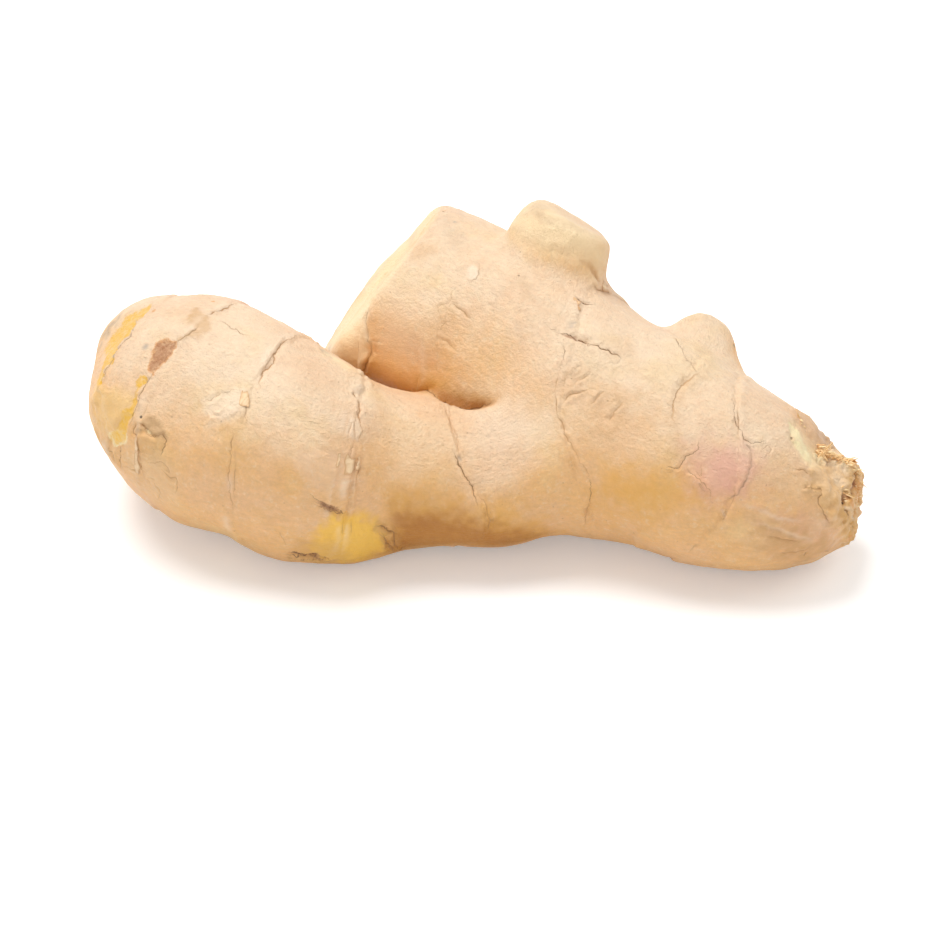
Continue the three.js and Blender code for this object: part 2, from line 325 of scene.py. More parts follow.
def split(points, triangles, wanted):
    """Splits each edge that is longer than both its ends want, and the triangles on it."""
    edges, edge_of = np.unique(np.sort(edges_of(triangles), 1), axis=0, return_inverse=True)
    edge_of = edge_of.reshape(-1, 3)
    ends = points[edges]
    length = np.linalg.norm(ends[:, 0] - ends[:, 1], axis=1)
    marked = length > wanted[edges].mean(1) * LONG_EDGE
    middle = np.full(len(edges), -1)
    middle[marked] = len(points) + np.arange(marked.sum())
    points = np.vstack([points, ends[marked].mean(1)])
    mids = middle[edge_of]
    count = (mids >= 0).sum(1)
    made = [triangles[count == 0]]
    # Each triangle is turned so that its first edge is split, and with two split edges its last is whole.
    first = np.where(count == 2, (np.argmin(mids, 1) + 1) % 3, np.argmax(mids >= 0, 1))
    turn = (np.arange(3) + first[:, None]) % 3
    a, b, c = np.take_along_axis(triangles, turn, 1).T
    ab, bc, ca = np.take_along_axis(mids, turn, 1).T
    one, two, three = (count == n for n in (1, 2, 3))
    made += [rows(a, ab, c)[one], rows(ab, b, c)[one]]
    made += [rows(a, ab, c)[two], rows(ab, bc, c)[two], rows(ab, b, bc)[two]]
    for corners in ((a, ab, ca), (ab, b, bc), (bc, c, ca), (ab, bc, ca)):
        made.append(rows(*corners)[three])
    return points, np.vstack(made), marked.sum()


def vertex_normals(points, triangles):
    a, b, c = points[triangles].transpose(1, 0, 2)
    flat = np.cross(b - a, c - a)
    normals = np.zeros_like(points)
    for i in range(3):
        for axis in range(3):
            normals[:, axis] += np.bincount(triangles[:, i], flat[:, axis], len(points))
    return unit(normals)


def ease(points, triangles, share, rounds):
    """Evens out the surface, as far as each point's share allows."""
    edges = np.unique(np.sort(edges_of(triangles), 1), axis=0)
    near = np.bincount(edges.ravel(), minlength=len(points))
    for _ in range(rounds):
        total = np.zeros_like(points)
        for axis in range(3):
            for one, other in ((0, 1), (1, 0)):
                total[:, axis] += np.bincount(edges[:, one], points[edges[:, other], axis], len(points))
        points = points + share[:, None] * EASING * (total / near[:, None] - points)
    return points


def past_ring(ring, part):
    """How far each point is past a ring, along its limb."""
    _, _, along, side, up = part
    bent = ring.bow[0] * (side**2 - up**2) + ring.bow[1] * 2 * side * up
    return along - ring.at - ring.lean[0] * side - ring.lean[1] * up - bent


def each_ring(total, parts):
    """(ring, place past it, share that shows) of every ring, at every point."""
    for limb, part in zip(limbs, parts):
        for ring in limb.rings:
            share = np.maximum(1 - (part[0] - total) / ring.reach, 0) ** 2
            yield ring, past_ring(ring, part), share


# ---- The camera, and places on the skin that are named by where they show in its 945 by 945 frame ----

FRAME_SIZE = 945
LENS = 145.714
SENSOR = 36
CAMERA_ELEVATION = 38
ELEVATION = math.radians(CAMERA_ELEVATION)
TOWARDS_CAMERA = np.array([0, -math.cos(ELEVATION), math.sin(ELEVATION)])
CAMERA_UP = np.array([0, math.sin(ELEVATION), math.cos(ELEVATION)])
AIM = np.array([-0.5, 0, 0]) + 18.7 * CAMERA_UP
DISTANCE = 750
EYE = AIM + DISTANCE * TOWARDS_CAMERA
# How far in front of an eye its frame stands, in pixels.
PIXELS = LENS / SENSOR * FRAME_SIZE

SKY_LIGHT = 0.488
FLOOR_GLOW = 0.26
FLOOR_HALF = 6.0


def add_camera():
    data = bpy.data.cameras.new("camera")
    data.lens = LENS
    data.sensor_width = SENSOR
    data.clip_start = 0.05
    data.clip_end = 20
    camera = bpy.data.objects.new("camera", data)
    camera.location = (EYE - ORIGIN) * MM
    camera.rotation_mode = "QUATERNION"
    camera.rotation_quaternion = Vector(-TOWARDS_CAMERA).to_track_quat("-Z", "Y")
    bpy.context.scene.collection.objects.link(camera)
    bpy.context.scene.camera = camera


def eye_at(azimuth, elevation):
    """Where an eye stands, and its right, up and backward directions, for a view round the same aim."""
    a, e = math.radians(azimuth), math.radians(elevation)
    back = np.array([math.sin(a) * math.cos(e), -math.cos(a) * math.cos(e), math.sin(e)])
    right = np.array([math.cos(a), math.sin(a), 0])
    return AIM + DISTANCE * back, right, np.cross(back, right), back


VIEWS = {"front": eye_at(0, CAMERA_ELEVATION), "back": eye_at(180, 30)}
# How far a place must turn towards a view to be seen at all, and to be seen clearly.
SILHOUETTE = 0.04, 0.3
# How far off the skin a look back at the eye starts, and how far it looks for skin in the way.
CLEARANCE, LOOK = 0.6, 200
# The least that a place may face a view for a line to be laid on it.
GRAZING = 0.2


def frame_place(points, view):
    """Where points show in a view's frame."""
    eye, right, up, back = VIEWS[view]
    arm = points - eye
    depth = -(arm @ back)
    x = FRAME_SIZE / 2 + PIXELS * (arm @ right) / depth
    y = FRAME_SIZE / 2 - PIXELS * (arm @ up) / depth
    return rows(x, y)


def cast(tree, view, x, y, least=0.0):
    """The place on the skin that shows at x, y of a view's frame, or None if none there faces it enough."""
    eye, right, up, back = VIEWS[view]
    ray = Vector((x - FRAME_SIZE / 2) * right - (y - FRAME_SIZE / 2) * up - PIXELS * back).normalized()
    place, normal = tree.ray_cast(Vector(eye), ray)[:2]
    return place if place is not None and abs(normal @ ray) >= least else None


def lay(tree, view, path, jagged=1.3, spacing=1.5):
    """Points on the skin under a path through frame places, which may be jagged by so many pixels."""
    reach = np.linalg.norm(np.diff(path, axis=0), axis=1).sum()
    places = catmull(path, np.linspace(0, 1, max(4, int(reach / spacing))))
    flat = np.pad(places / 5, ((0, 0), (0, 1)))
    places = places + jagged * rows(rough(flat, 0.9, 70, 2), rough(flat, 0.9, 71, 2))
    hits = [cast(tree, view, x, y, GRAZING) for x, y in places]
    return np.array([hit for hit in hits if hit is not None]).reshape(-1, 3)


def seen_from(tree, view, points, normals):
    """How clearly a view sees each point, from 0 to 1."""
    away = unit(VIEWS[view][0] - points)
    seen = step((normals * away).sum(1), *SILHOUETTE)
    for i in np.flatnonzero(seen):
        start = Vector(points[i] + CLEARANCE * normals[i])
        if tree.ray_cast(start, Vector(away[i]), LOOK)[0] is not None:
            seen[i] = 0
    return seen


def add_floor():
    """A plain pale floor, which the root rests on."""
    mesh = bpy.data.meshes.new("floor")
    corners = [(x * FLOOR_HALF, y * FLOOR_HALF, 0) for x, y in ((-1, -1), (1, -1), (1, 1), (-1, 1))]
    mesh.from_pydata(corners, [], [(0, 1, 2, 3)])
    floor = bpy.data.objects.new("floor", mesh)
    material = bpy.data.materials.new("pale floor")
    material.use_nodes = True
    n = Nodes(material.node_tree)
    glow = n.math("MULTIPLY", n.add("LightPath", "Is Camera Ray"), FLOOR_GLOW)
    look = {"Base Color": (0.93, 0.93, 0.925, 1), "Roughness": 0.7, "Specular IOR Level": 0.2}
    look.update({"Emission Color": (1, 1, 1, 1), "Emission Strength": glow})
    feed(n.tree, n.tree.nodes["Principled BSDF"], look)
    mesh.materials.append(material)
    bpy.context.scene.collection.objects.link(floor)


def add_lamp(name, place, aim, size, watts, colour=(1, 1, 1)):
    data = bpy.data.lights.new(name, "AREA")
    data.shape = "DISK"
    data.size = size
    data.energy = watts
    data.color = colour
    lamp = bpy.data.objects.new(name, data)
    lamp.location = place
    lamp.rotation_mode = "QUATERNION"
    lamp.rotation_quaternion = (Vector(aim) - Vector(place)).to_track_quat("-Z", "Y")
    bpy.context.scene.collection.objects.link(lamp)


def add_light():
    """Soft studio light: a pale sky, which the camera sees as white, and three large lamps."""
    world = bpy.data.worlds.new("studio")
    bpy.context.scene.world = world
    world.use_nodes = True
    n = Nodes(world.node_tree)
    strength = n.remap(n.add("LightPath", "Is Camera Ray"), 0.0, 1.0, SKY_LIGHT, 1.0)
    feed(n.tree, n.tree.nodes["Background"], {"Color": (1, 1, 1, 1), "Strength": strength})
    bpy.context.scene.view_settings.view_transform = "Standard"
    aim = (0, 0, 0.02)
    add_lamp("key", (-0.3, 0.25, 1.08), aim, 0.8, 11.1)
    add_lamp("front", (-0.5, -1.08, 0.72), aim, 0.8, 1.8)
    add_lamp("side", (0.9, 0.1, 0.9), aim, 0.9, 3.0)


# ---- Materials ----


def feed(tree, node, inputs):
    """Sets a node's inputs, named with _ for a space or numbered after a _, to values or to outputs."""
    for key, value in inputs.items():
        socket = node.inputs[int(key[1:])] if key[0] == "_" else node.inputs[key.replace("_", " ")]
        if isinstance(value, bpy.types.NodeSocket):
            tree.links.new(value, socket)
        else:
            socket.default_value = value


class Nodes:
    """A short way to write shader nodes: each call adds a node and returns its output."""

    def __init__(self, tree):
        self.tree = tree

    def add(self, kind, output=0, settings=None, **inputs):
        node = self.tree.nodes.new("ShaderNode" + kind)
        for key, value in (settings or {}).items():
            setattr(node, key, value)
        feed(self.tree, node, inputs)
        return node.outputs[output]

    def group(self, tree, **inputs):
        node = self.tree.nodes.new("ShaderNodeGroup")
        node.node_tree = tree
        feed(self.tree, node, inputs)
        return node.outputs

    def math(self, operation, a, b=0.0, c=0.0, clamp=False):
        return self.add("Math", settings={"operation": operation, "use_clamp": clamp}, _0=a, _1=b, _2=c)

    def scale(self, vector, factor):
        return self.add("VectorMath", settings={"operation": "SCALE"}, _0=vector, Scale=factor)

    def mask(self, name):
        return self.add("Attribute", "Fac", {"attribute_name": name})

    def vector(self, name):
        return self.add("Attribute", "Vector", {"attribute_name": name})

    def noise(self, vector, scale, detail=2.0, roughness=0.5, distortion=0.0):
        form = {"Scale": scale, "Detail": detail, "Roughness": roughness, "Distortion": distortion}
        return self.add("TexNoise", Vector=vector, **form)

    def remap(self, value, low, high, to_low=0.0, to_high=1.0):
        return self.add("MapRange", _0=value, _1=low, _2=high, _3=to_low, _4=to_high)

    def mix(self, factor, a, b, blend="MIX"):
        settings = {"data_type": "RGBA", "blend_type": blend, "clamp_factor": True}
        return self.add("Mix", 2, settings, _0=factor, _6=a, _7=b)


def new_group(name, inputs, outputs):
    """A shader node group with float or vector sockets."""
    tree = bpy.data.node_groups.new(name, "ShaderNodeTree")
    kinds = {"float": "NodeSocketFloat", "vector": "NodeSocketVector"}
    for socket, (kind, value) in inputs.items():
        made = tree.interface.new_socket(socket, in_out="INPUT", socket_type=kinds[kind])
        if value is not None:
            made.default_value = value
    for socket, kind in outputs.items():
        tree.interface.new_socket(socket, in_out="OUTPUT", socket_type=kinds[kind])
    return tree, tree.nodes.new("NodeGroupInput").outputs, tree.nodes.new("NodeGroupOutput").inputs


def grain_group():
    """Fine streaks and wrinkles that run along a limb, from 0 to 1."""
    sockets = {"Place": ("vector", None), "Fineness": ("float", 1.0)}
    tree, get, put = new_group("limb grain", sockets, {"Streaks": "float", "Wrinkles": "float"})
    n = Nodes(tree)
    place = n.scale(get["Place"], get["Fineness"])
    streaks = n.noise(place, 1.5, 4.0, 0.68, 0.2)
    creases = n.noise(place, 0.85, 3.0, 0.55, 0.8)
    ridge = n.math("ABSOLUTE", n.math("SUBTRACT", creases, 0.5))
    broken = n.remap(n.noise(place, 0.5, 2.0), 0.5, 0.62, 0.06, 0.0)
    tree.links.new(streaks, put["Streaks"])
    tree.links.new(n.remap(n.math("ADD", ridge, broken), 0.0, 0.06), put["Wrinkles"])
    return tree


def speck_group():
    """Tiny specks and pores, 1 in the middle of each."""
    sockets = {"Place": ("vector", None), "Per mm": ("float", 0.6), "Share": ("float", 0.3)}
    tree, get, put = new_group("specks", sockets, {"Specks": "float"})
    n = Nodes(tree)
    near = tree.nodes.new("ShaderNodeTexVoronoi")
    feed(tree, near, {"Vector": get["Place"], "Scale": get["Per mm"]})
    chance = n.add("SeparateColor", 0, _0=near.outputs["Color"])
    size = n.add("SeparateColor", 1, _0=near.outputs["Color"])
    present = n.math("LESS_THAN", chance, get["Share"])
    edge = n.remap(size, 0.0, 1.0, 0.05, 0.16)
    dot = n.math("SUBTRACT", 1.0, n.math("DIVIDE", near.outputs["Distance"], edge), clamp=True)
    tree.links.new(n.math("MULTIPLY", dot, present), put["Specks"])
    return tree


def rgb(*values):
    """A colour given as 0 to 255 screen values, as linear light. None of its values may be nearly black."""
    return (*(((v / 255 + 0.055) / 1.055) ** 2.4 for v in values), 1)


GRAIN = grain_group()
SPECKS = speck_group()


def new_material(name, roughness):
    material = bpy.data.materials.new(name)
    material.use_nodes = True
    tree = material.node_tree
    shader = tree.nodes["Principled BSDF"]
    shader.inputs["Roughness"].default_value = roughness
    return material, Nodes(tree), shader


# The skin's stains, with painted light and shade among them, in the order that they lie on each other:
# colour, how much a full mask covers, and whether the edge is crisp.
STAINS = {
    # A warm tint in hollows: painted bounce light and shade, partly the skin's own warmer colour there.
    "tucked": (rgb(252, 206, 136), 0.6, False),
    "pink": (rgb(228, 166, 152), 0.75, False),
    # The skin's own cream colour, also painted light on the shaded end bud and top knob.
    "cream": (rgb(255, 228, 178), 0.85, False),
    # The skin's own ochre, also painted shade under the lobe and along the neck's underside.
    "ochre": (rgb(228, 168, 70), 0.85, False),
    "gold": (rgb(248, 196, 80), 0.9, False),
    "tan": (rgb(206, 158, 98), 0.75, False),
    # Pale skin and paper, also painted light on the saddle, the trunk's back, the lobe's left side and the
    # knob.
    "pale": (rgb(255, 234, 208), 0.8, False),
    "grey": (rgb(172, 158, 146), 0.65, False),
    # Painted shade, in creases and hollows and on the shaded underside.
    "deep": (rgb(172, 106, 32), 0.9, False),
    "lime": (rgb(252, 236, 186), 0.8, True),
    "yellow": (rgb(241, 188, 70), 1.0, True),
    "scar": (rgb(186, 138, 84), 0.6, True),
    "orange": (rgb(226, 156, 84), 0.75, True),
    "brown": (rgb(160, 104, 70), 0.75, True),
    "dark": (rgb(112, 72, 42), 0.8, True),
    "black": (rgb(40, 30, 22), 0.95, True),
}
CRISP = [name for name, (_, _, crisp) in STAINS.items() if crisp]

# The two kinds of thin line. Each point holds which side of the nearest line it is on and how far off, in
# half widths of the line, how clear the line is there, and how dark.
SEAMS = ("ring_seam", "crack")


def skin_material():
    material, n, shader = new_material("ginger skin", 0.5)
    link = n.tree.links.new
    place = n.scale(n.add("TexCoord", "Object"), 1 / MM)
    streaks, wrinkles = 0.0, 0.0
    for grain in GRAINS:
        out = n.group(GRAIN, Place=n.vector(grain + "_place"), Fineness=1.0)
        share = n.mask(grain + "_share")
        streaks = n.math("MULTIPLY_ADD", out["Streaks"], share, streaks)
        wrinkles = n.math("MULTIPLY_ADD", out["Wrinkles"], share, wrinkles)
    broad = n.noise(place, 0.06, 3.0, 0.6)
    blotch = n.noise(place, 0.22, 4.0, 0.65, 0.6)
    mottle = n.noise(n.add("VectorMath", _0=place, _1=(40, 9, 3)), 0.8, 4.0, 0.7, 0.3)
    fine = n.noise(place, 1.6, 4.0, 0.75)
    low = n.math("MULTIPLY_ADD", n.math("SUBTRACT", blotch, 0.5), 0.9, n.mask("low"), clamp=True)
    # The ground colour, darker and more golden where the skin faces down, partly its own colour there and
    # partly painted shade; its drifts and its fine grain.
    colour = n.mix(low, rgb(242, 213, 179), rgb(235, 183, 120))
    # noise, where it starts to show, where it shows in full, how much it covers then, and its colour
    drifts = (
        (broad, 0.45, 0.66, 0.5, rgb(234, 190, 150)),
        (broad, 0.45, 0.3, 0.5, rgb(236, 202, 146)),
        (mottle, 0.52, 0.7, 0.32, rgb(224, 176, 134)),
        (mottle, 0.45, 0.3, 0.3, rgb(246, 224, 190)),
    )
    for noise, start, full, cover, drift in drifts:
        colour = n.mix(n.remap(noise, start, full, 0.0, cover), colour, drift)
    streaky = n.remap(streaks, 0.3, 0.7, 0.94, 1.055)
    tone = n.math("MULTIPLY", streaky, n.remap(fine, 0.3, 0.7, 0.94, 1.06))
    colour = n.mix(1.0, colour, n.add("CombineColor", _0=tone, _1=tone, _2=tone), "MULTIPLY")
    crease = n.math("MULTIPLY", n.math("SUBTRACT", 1.0, wrinkles), 0.07)
    colour = n.mix(crease, colour, rgb(176, 124, 80))
    dots = n.group(SPECKS, Place=place, Per_mm=0.6, Share=0.35)["Specks"]
    colour = n.mix(n.math("MULTIPLY", dots, 0.5), colour, rgb(140, 92, 62))
    # The stains and the painted light and shade, crisp ones with a ragged edge.
    ragged = n.math("SUBTRACT", n.noise(place, 1.3, 4.0, 0.65), 0.5)
    uneven = n.remap(n.math("ADD", fine, mottle), 0.8, 1.15, 0.5, 1.0)
    for name, (stain, strength, crisp) in STAINS.items():
        if crisp:
            edge = n.math("MULTIPLY_ADD", ragged, 0.5, n.mask(name))
            cover = n.math("MULTIPLY", n.remap(edge, 0.42, 0.6, 0.0, strength), uneven)
        else:
            loose = n.math("MULTIPLY", n.math("ADD", blotch, mottle), 0.5)
            edge = n.math("MULTIPLY_ADD", n.math("SUBTRACT", loose, 0.5), 0.9, 1.0)
            cover = n.math("MULTIPLY", n.math("MULTIPLY", n.mask(name), edge, clamp=True), strength)
        colour = n.mix(cover, colour, stain)
    # The thin lines.
    wobble = n.math("SUBTRACT", n.noise(place, 1.9, 4.0, 0.7), 0.5)
    cuts = 0.0
    for kind in SEAMS:
        off = n.math("ABSOLUTE", n.math("MULTIPLY_ADD", wobble, 2.4, n.mask(kind)))
        cut = n.math("MULTIPLY", n.remap(off, 1.1, 0.3), n.mask(kind + "_weight"))
        colour = n.mix(cut, colour, n.mix(n.mask(kind + "_dark"), rgb(204, 154, 102), rgb(122, 78, 44)))
        cuts = n.math("MAXIMUM", cut, cuts)
    link(colour, shader.inputs["Base Color"])
    # The finest relief, softer on the underside.
    height = n.math("MULTIPLY_ADD", wrinkles, 0.12, n.math("MULTIPLY", streaks, 1.1))
    for texture, size in ((fine, 1.3), (mottle, 0.7), (dots, -0.6), (cuts, -0.7)):
        height = n.math("MULTIPLY_ADD", texture, size, height)
    strength = n.remap(n.mask("low"), 0.0, 1.0, 1.0, 0.58)
    link(n.add("Bump", Strength=strength, Distance=0.31 * MM, Height=height), shader.inputs["Normal"])
    link(n.remap(fine, 0.3, 0.7, 0.36, 0.52), shader.inputs["Roughness"])
    return material


# ---- Marks on the skin, laid out by frame places ----


def path_of(numbers):
    """A path or outline of frame places, from the x and y of each in turn."""
    return np.array(numbers, float).reshape(-1, 2)


def line(path, groove, width, lip, **stains):
    """A crease or crack: its path, the depth of its groove, its half width, and the height of its lips."""
    return path_of(path), groove, width, lip, stains


def patch(outline, soft, ragged, relief=(0, 0, 1), **stains):
    """A patch: its outline, softness and raggedness of its edge, and (height, height and size of lumps)."""
    return path_of(outline), soft, ragged, *relief, stains


FRONT_LINES = [
    # the deep crease between the lobe and the finger, past the end of the gap, with a painted shade line in
    # it
    line([425, 392, 434, 395, 443, 398, 452, 401, 461, 404, 474, 405, 489, 403], 0.8, 0.4, 0, dark=0.9),
    # the crease round the foot of the top knob, with painted shade in it
    line([512, 232, 524, 240, 540, 247, 565, 255, 582, 262], 0.3, 1.6, 0, tucked=0.1),
    line([579, 260, 588, 266, 596, 275, 600, 283], 0.8, 0.6, 0, deep=0.45),
    line([529, 210, 539, 217, 553, 222, 566, 227, 580, 231, 600, 235], 0.25, 1, 0.1, grey=0.15, tan=0.45),
    line([535, 216, 541, 221, 545, 225], 0.1, 0.7, 0, tan=0.7),
    # the line between the lobe and its end bud
    line([405, 252, 394, 266, 384, 278, 375, 289, 369, 303, 367, 321, 369, 340, 372, 351, 367, 364,
        363, 372], 0.5, 0.45, 0.3, grey=0.35, dark=0.45),
    line([399, 262, 390, 274, 383, 284, 373, 296], 0.3, 0.4, 0.1, grey=0.3),
    line([369, 341, 376, 342, 383, 341], 0.3, 0.3, 0.1, dark=0.5),
    line([372, 351, 368, 362, 363, 372], 0.6, 0.6, 0, ochre=0.8, dark=0.6),
    # the lobe's ring and the small creases beside it
    line([479, 266, 479, 276, 472, 281], 0.2, 0.35, 0.15, scar=0.6),
    line([458, 286, 451, 294, 450, 303, 438, 308, 441, 321, 438, 332, 437, 381], 0.25, 0.4, 0.1, scar=0.35),
    line([452, 303, 460, 309, 470, 318], 0.35, 0.5, 0.15, scar=0.5),
    line([446, 322, 441, 331], 0.3, 0.5, 0.1, scar=0.6, brown=0.2),
    line([439, 339, 446, 341, 454, 348], 0.3, 0.4, 0.1, scar=0.4),
    # the line that the trunk's ring makes, and cracks on the trunk
    line([559, 372, 556, 390, 558, 410, 564, 430, 574, 450, 584, 466, 590, 479], 0.4, 0.35, 0.3, scar=0.6),
    line([562, 352, 558, 362, 559, 372], 0.2, 0.3, 0.2, orange=0.7),
    line([550, 328, 557, 331, 563, 334], 0.2, 0.25, 0.1, brown=0.6),
    line([563, 335, 573, 337, 582, 341, 589, 344], 1.2, 0.9, 0.35, dark=1, black=0.35),
    line([589, 344, 597, 345, 604, 349, 611, 352, 619, 356], 0.5, 0.3, 0.2, dark=0.9),
    line([574, 342, 581, 346, 592, 347], 0.25, 0.3, 0.15, brown=0.6),
    line([577, 299, 582, 302, 586, 304, 593, 306], 0.5, 0.3, 0.2, dark=0.9),
    line([568, 329, 572, 325, 577, 322], 0.3, 0.5, 0, grey=0.8),
    line([619, 357, 621, 361, 614, 364, 606, 363], 0.2, 0.35, 0.15, pale=0.5),
    line([563, 349, 565, 355, 562, 365, 560, 371], 0.2, 0.5, 0.1, orange=0.75),
    line([564, 401, 569, 396, 580, 393, 588, 389], 0.35, 0.4, 0.3, scar=0.5),
    line([566, 376, 573, 369, 580, 366], 0.3, 0.4, 0.25, scar=0.4),
    line([573, 386, 581, 379, 589, 375], 0.3, 0.4, 0.25, scar=0.35),
    line([592, 403, 598, 397, 604, 393], 0.3, 0.4, 0.25, scar=0.35),
    line([609, 420, 615, 411, 622, 402], 0.3, 0.45, 0.3, scar=0.45),
    line([590, 479, 591, 490, 590, 501], 0.6, 0.35, 0.1, dark=0.9),
    line([590, 501, 587, 512, 584, 526], 0.2, 0.35, 0.6, scar=0.6, dark=0.3),
    # the pink patch
    line([732, 397, 733, 408, 735, 420, 740, 431, 745, 440], 0.4, 0.3, 0.15, dark=0.9),
    line([745, 440, 750, 451, 751, 461, 749, 473, 744, 485, 736, 495, 724, 502], 0.35, 0.3, 0.15, grey=0.6,
        brown=0.35),
    line([745, 440, 753, 443, 763, 441], 0.35, 0.3, 0.15, dark=0.8),
    line([763, 449, 768, 446, 771, 451, 766, 455], 0.2, 0.3, 0.2, scar=0.6),
    line([699, 444, 696, 450, 687, 457, 679, 467, 668, 468], 0.4, 0.3, 0.2, dark=0.8),
    line([679, 467, 674, 470, 667, 472], 0.2, 0.25, 0.1, scar=0.6),
    line([690, 472, 698, 478, 706, 485, 710, 492, 711, 501], 0.35, 0.3, 0.25, brown=0.8),
    line([698, 497, 705, 500, 711, 502], 0.2, 0.3, 0.2, pale=0.6),
    line([701, 468, 701, 476, 700, 486, 704, 492], 0.25, 0.3, 0.15, orange=0.6),
    line([722, 478, 725, 484, 727, 488], 0.2, 0.25, 0.15, brown=0.5),
    line([718, 506, 723, 511, 725, 519], 0.2, 0.4, 0.25, pale=0.6),
    # the trunk's faint upper ring near the pink patch
    line([697, 374, 686, 381, 678, 391, 673, 404, 673, 420], 0.3, 0.7, 0.15, scar=0.6),
    # the right end's crust
    line([797, 469, 803, 470, 809, 475], 0.3, 0.3, 0.2, scar=0.6),
    line([806, 488, 813, 489, 819, 491, 817, 499, 821, 509, 825, 517, 827, 522], 0.15, 0.2, 0.35,
        orange=0.8),
    line([843, 507, 845, 512, 848, 517], 0.5, 0.3, 0.2, brown=0.9),
    line([858, 515, 855, 522, 852, 529], 0.5, 0.3, 0.2, brown=0.8),
    line([806, 550, 803, 555], 0.2, 0.4, 0.1, brown=0.9),
    line([742, 505, 760, 510, 780, 517, 800, 522], 0.12, 0.5, 0.2, pale=0.45),
    line([750, 522, 770, 526, 792, 534, 812, 540], 0.12, 0.5, 0.2, pale=0.35),
    line([768, 534, 782, 538, 798, 541], 0.2, 0.3, 0.15, scar=0.8, tan=0.4),
    line([780, 552, 796, 551, 812, 546], 0.2, 0.3, 0.15, scar=0.7),
    line([824, 552, 829, 551], 0.2, 0.4, 0.1, brown=0.9),
    # the finger's rings and scars
    line([296, 335, 285, 341, 279, 348, 275, 353, 273, 363, 262, 373, 259, 384], 0.35, 0.45, 0.15, scar=0.8,
        lime=0.15),
    line([247, 405, 246, 416, 248, 424], 0.3, 0.3, 0.15, brown=0.5),
    line([232, 435, 231, 446, 230, 460, 228, 476, 229, 490, 233, 510], 0.3, 0.35, 0.1, scar=0.7),
    line([209, 314, 216, 311, 223, 309, 231, 305], 0.3, 0.4, 0.2, scar=0.9, grey=0.3),
    line([197, 328, 193, 332, 189, 335, 184, 338, 179, 342], 0.25, 0.3, 0.2, brown=0.6),
    line([358, 373, 363, 374, 367, 378, 368, 385, 364, 392], 0.2, 0.4, 0.3, pale=0.5),
    line([361, 376, 366, 378], 0.8, 0.6, 0.2, orange=1, brown=0.5),
    line([354, 393, 356, 397], 0.4, 0.4, 0.1, orange=0.9),
    line([358, 399, 360, 408, 360, 417, 361, 430, 358, 440], 0.4, 0.35, 0.3, scar=0.7),
    line([355, 419, 351, 425, 350, 434], 0.2, 0.3, 0.2, scar=0.5),
    line([353, 445, 350, 455, 353, 461], 0.3, 0.35, 0.2, brown=0.6),
    line([356, 462, 360, 469, 357, 476, 355, 487], 0.3, 0.4, 0.2, scar=0.6),
    line([312, 453, 326, 452, 338, 457, 352, 461], 0.2, 0.7, 0.15, pale=0.3),
    line([318, 470, 332, 474, 346, 468], 0.15, 0.6, 0.2, pale=0.4),
    line([340, 484, 347, 482, 353, 481], 0, 0.5, 0.25, pale=0.8),
    line([444, 400, 447, 410, 452, 424, 458, 437, 458, 448], 0.35, 0.8, 0.1, scar=0.35),
    line([455, 457, 458, 463, 461, 468, 467, 478, 473, 490, 477, 504], 0.6, 0.35, 0.25, dark=0.8),
    line([457, 458, 461, 461], 0.4, 0.5, 0.1, grey=0.7, dark=0.5),
    # the finger's tip
    line([136, 321, 129, 336, 119, 343, 110, 362, 104, 376, 101, 387], 0.4, 0.35, 0.3, dark=0.6, grey=0.5),
    line([150, 377, 144, 388, 140, 396, 138, 405, 134, 415, 131, 424], 0.4, 0.3, 0.3, dark=0.8),
    line([137, 425, 134, 432, 137, 436], 0.3, 0.35, 0.2, orange=0.9),
    line([141, 423, 147, 429, 154, 436, 164, 434], 0.8, 0.5, 0.3, orange=0.9, dark=0.5),
    line([164, 434, 166, 440, 165, 447, 161, 453], 0.5, 0.35, 0.2, dark=0.7),
    line([138, 449, 142, 451, 148, 449], 0.3, 0.3, 0.1, brown=0.6),
    line([121, 446, 120, 459, 123, 469], 0.7, 0.5, 0.3, brown=1, dark=0.6),
    line([111, 446, 114, 454, 117, 462], 0.4, 0.4, 0.2, dark=0.6),
    line([140, 457, 142, 463, 142, 469, 144, 477], 0.2, 0.25, 0.12, scar=0.9),
    line([142, 461, 150, 462, 159, 462, 167, 467, 168, 473], 0.2, 0.25, 0.12, scar=0.8),
    line([163, 471, 170, 477, 177, 481, 177, 492], 0.2, 0.25, 0.12, scar=0.8),
    line([126, 465, 134, 469, 142, 472, 150, 481], 0.2, 0.25, 0.12, scar=0.8),
    line([146, 477, 155, 482, 160, 490, 158, 499], 0.2, 0.25, 0.12, scar=0.6),
    line([205, 401, 213, 399, 220, 396, 228, 392, 236, 391], 0.3, 0.5, 0.2, scar=0.5),
    line([211, 414, 219, 415, 228, 412, 239, 411], 0.25, 0.4, 0.25, pale=0.7),
    line([209, 427, 216, 424, 224, 422], 0.2, 0.4, 0.2, pale=0.6),
    # the finger's underside
    line([311, 496, 318, 500, 327, 503, 338, 507], 0.6, 0.3, 0.15, dark=1, black=0.5),
    line([318, 504, 325, 508, 333, 512, 343, 514], 0.7, 0.6, 0.2, brown=1, black=0.4),
    line([337, 507, 341, 511, 344, 516], 0.4, 0.3, 0.1, black=0.7),
    line([287, 552, 295, 554, 304, 556, 314, 554, 326, 557], 0.8, 0.6, 0.2, black=1),
    line([291, 556, 302, 558, 318, 558], 0.5, 0.5, 0.2, dark=1),
    line([377, 524, 383, 526, 388, 531, 393, 533, 394, 541, 397, 546], 0.4, 0.35, 0.3, dark=0.7),
    line([380, 533, 385, 537, 387, 543, 392, 549], 0.4, 0.35, 0.3, brown=0.8),
    line([262, 526, 272, 528, 281, 534, 286, 545], 0.25, 0.35, 0.2, scar=0.7),
]
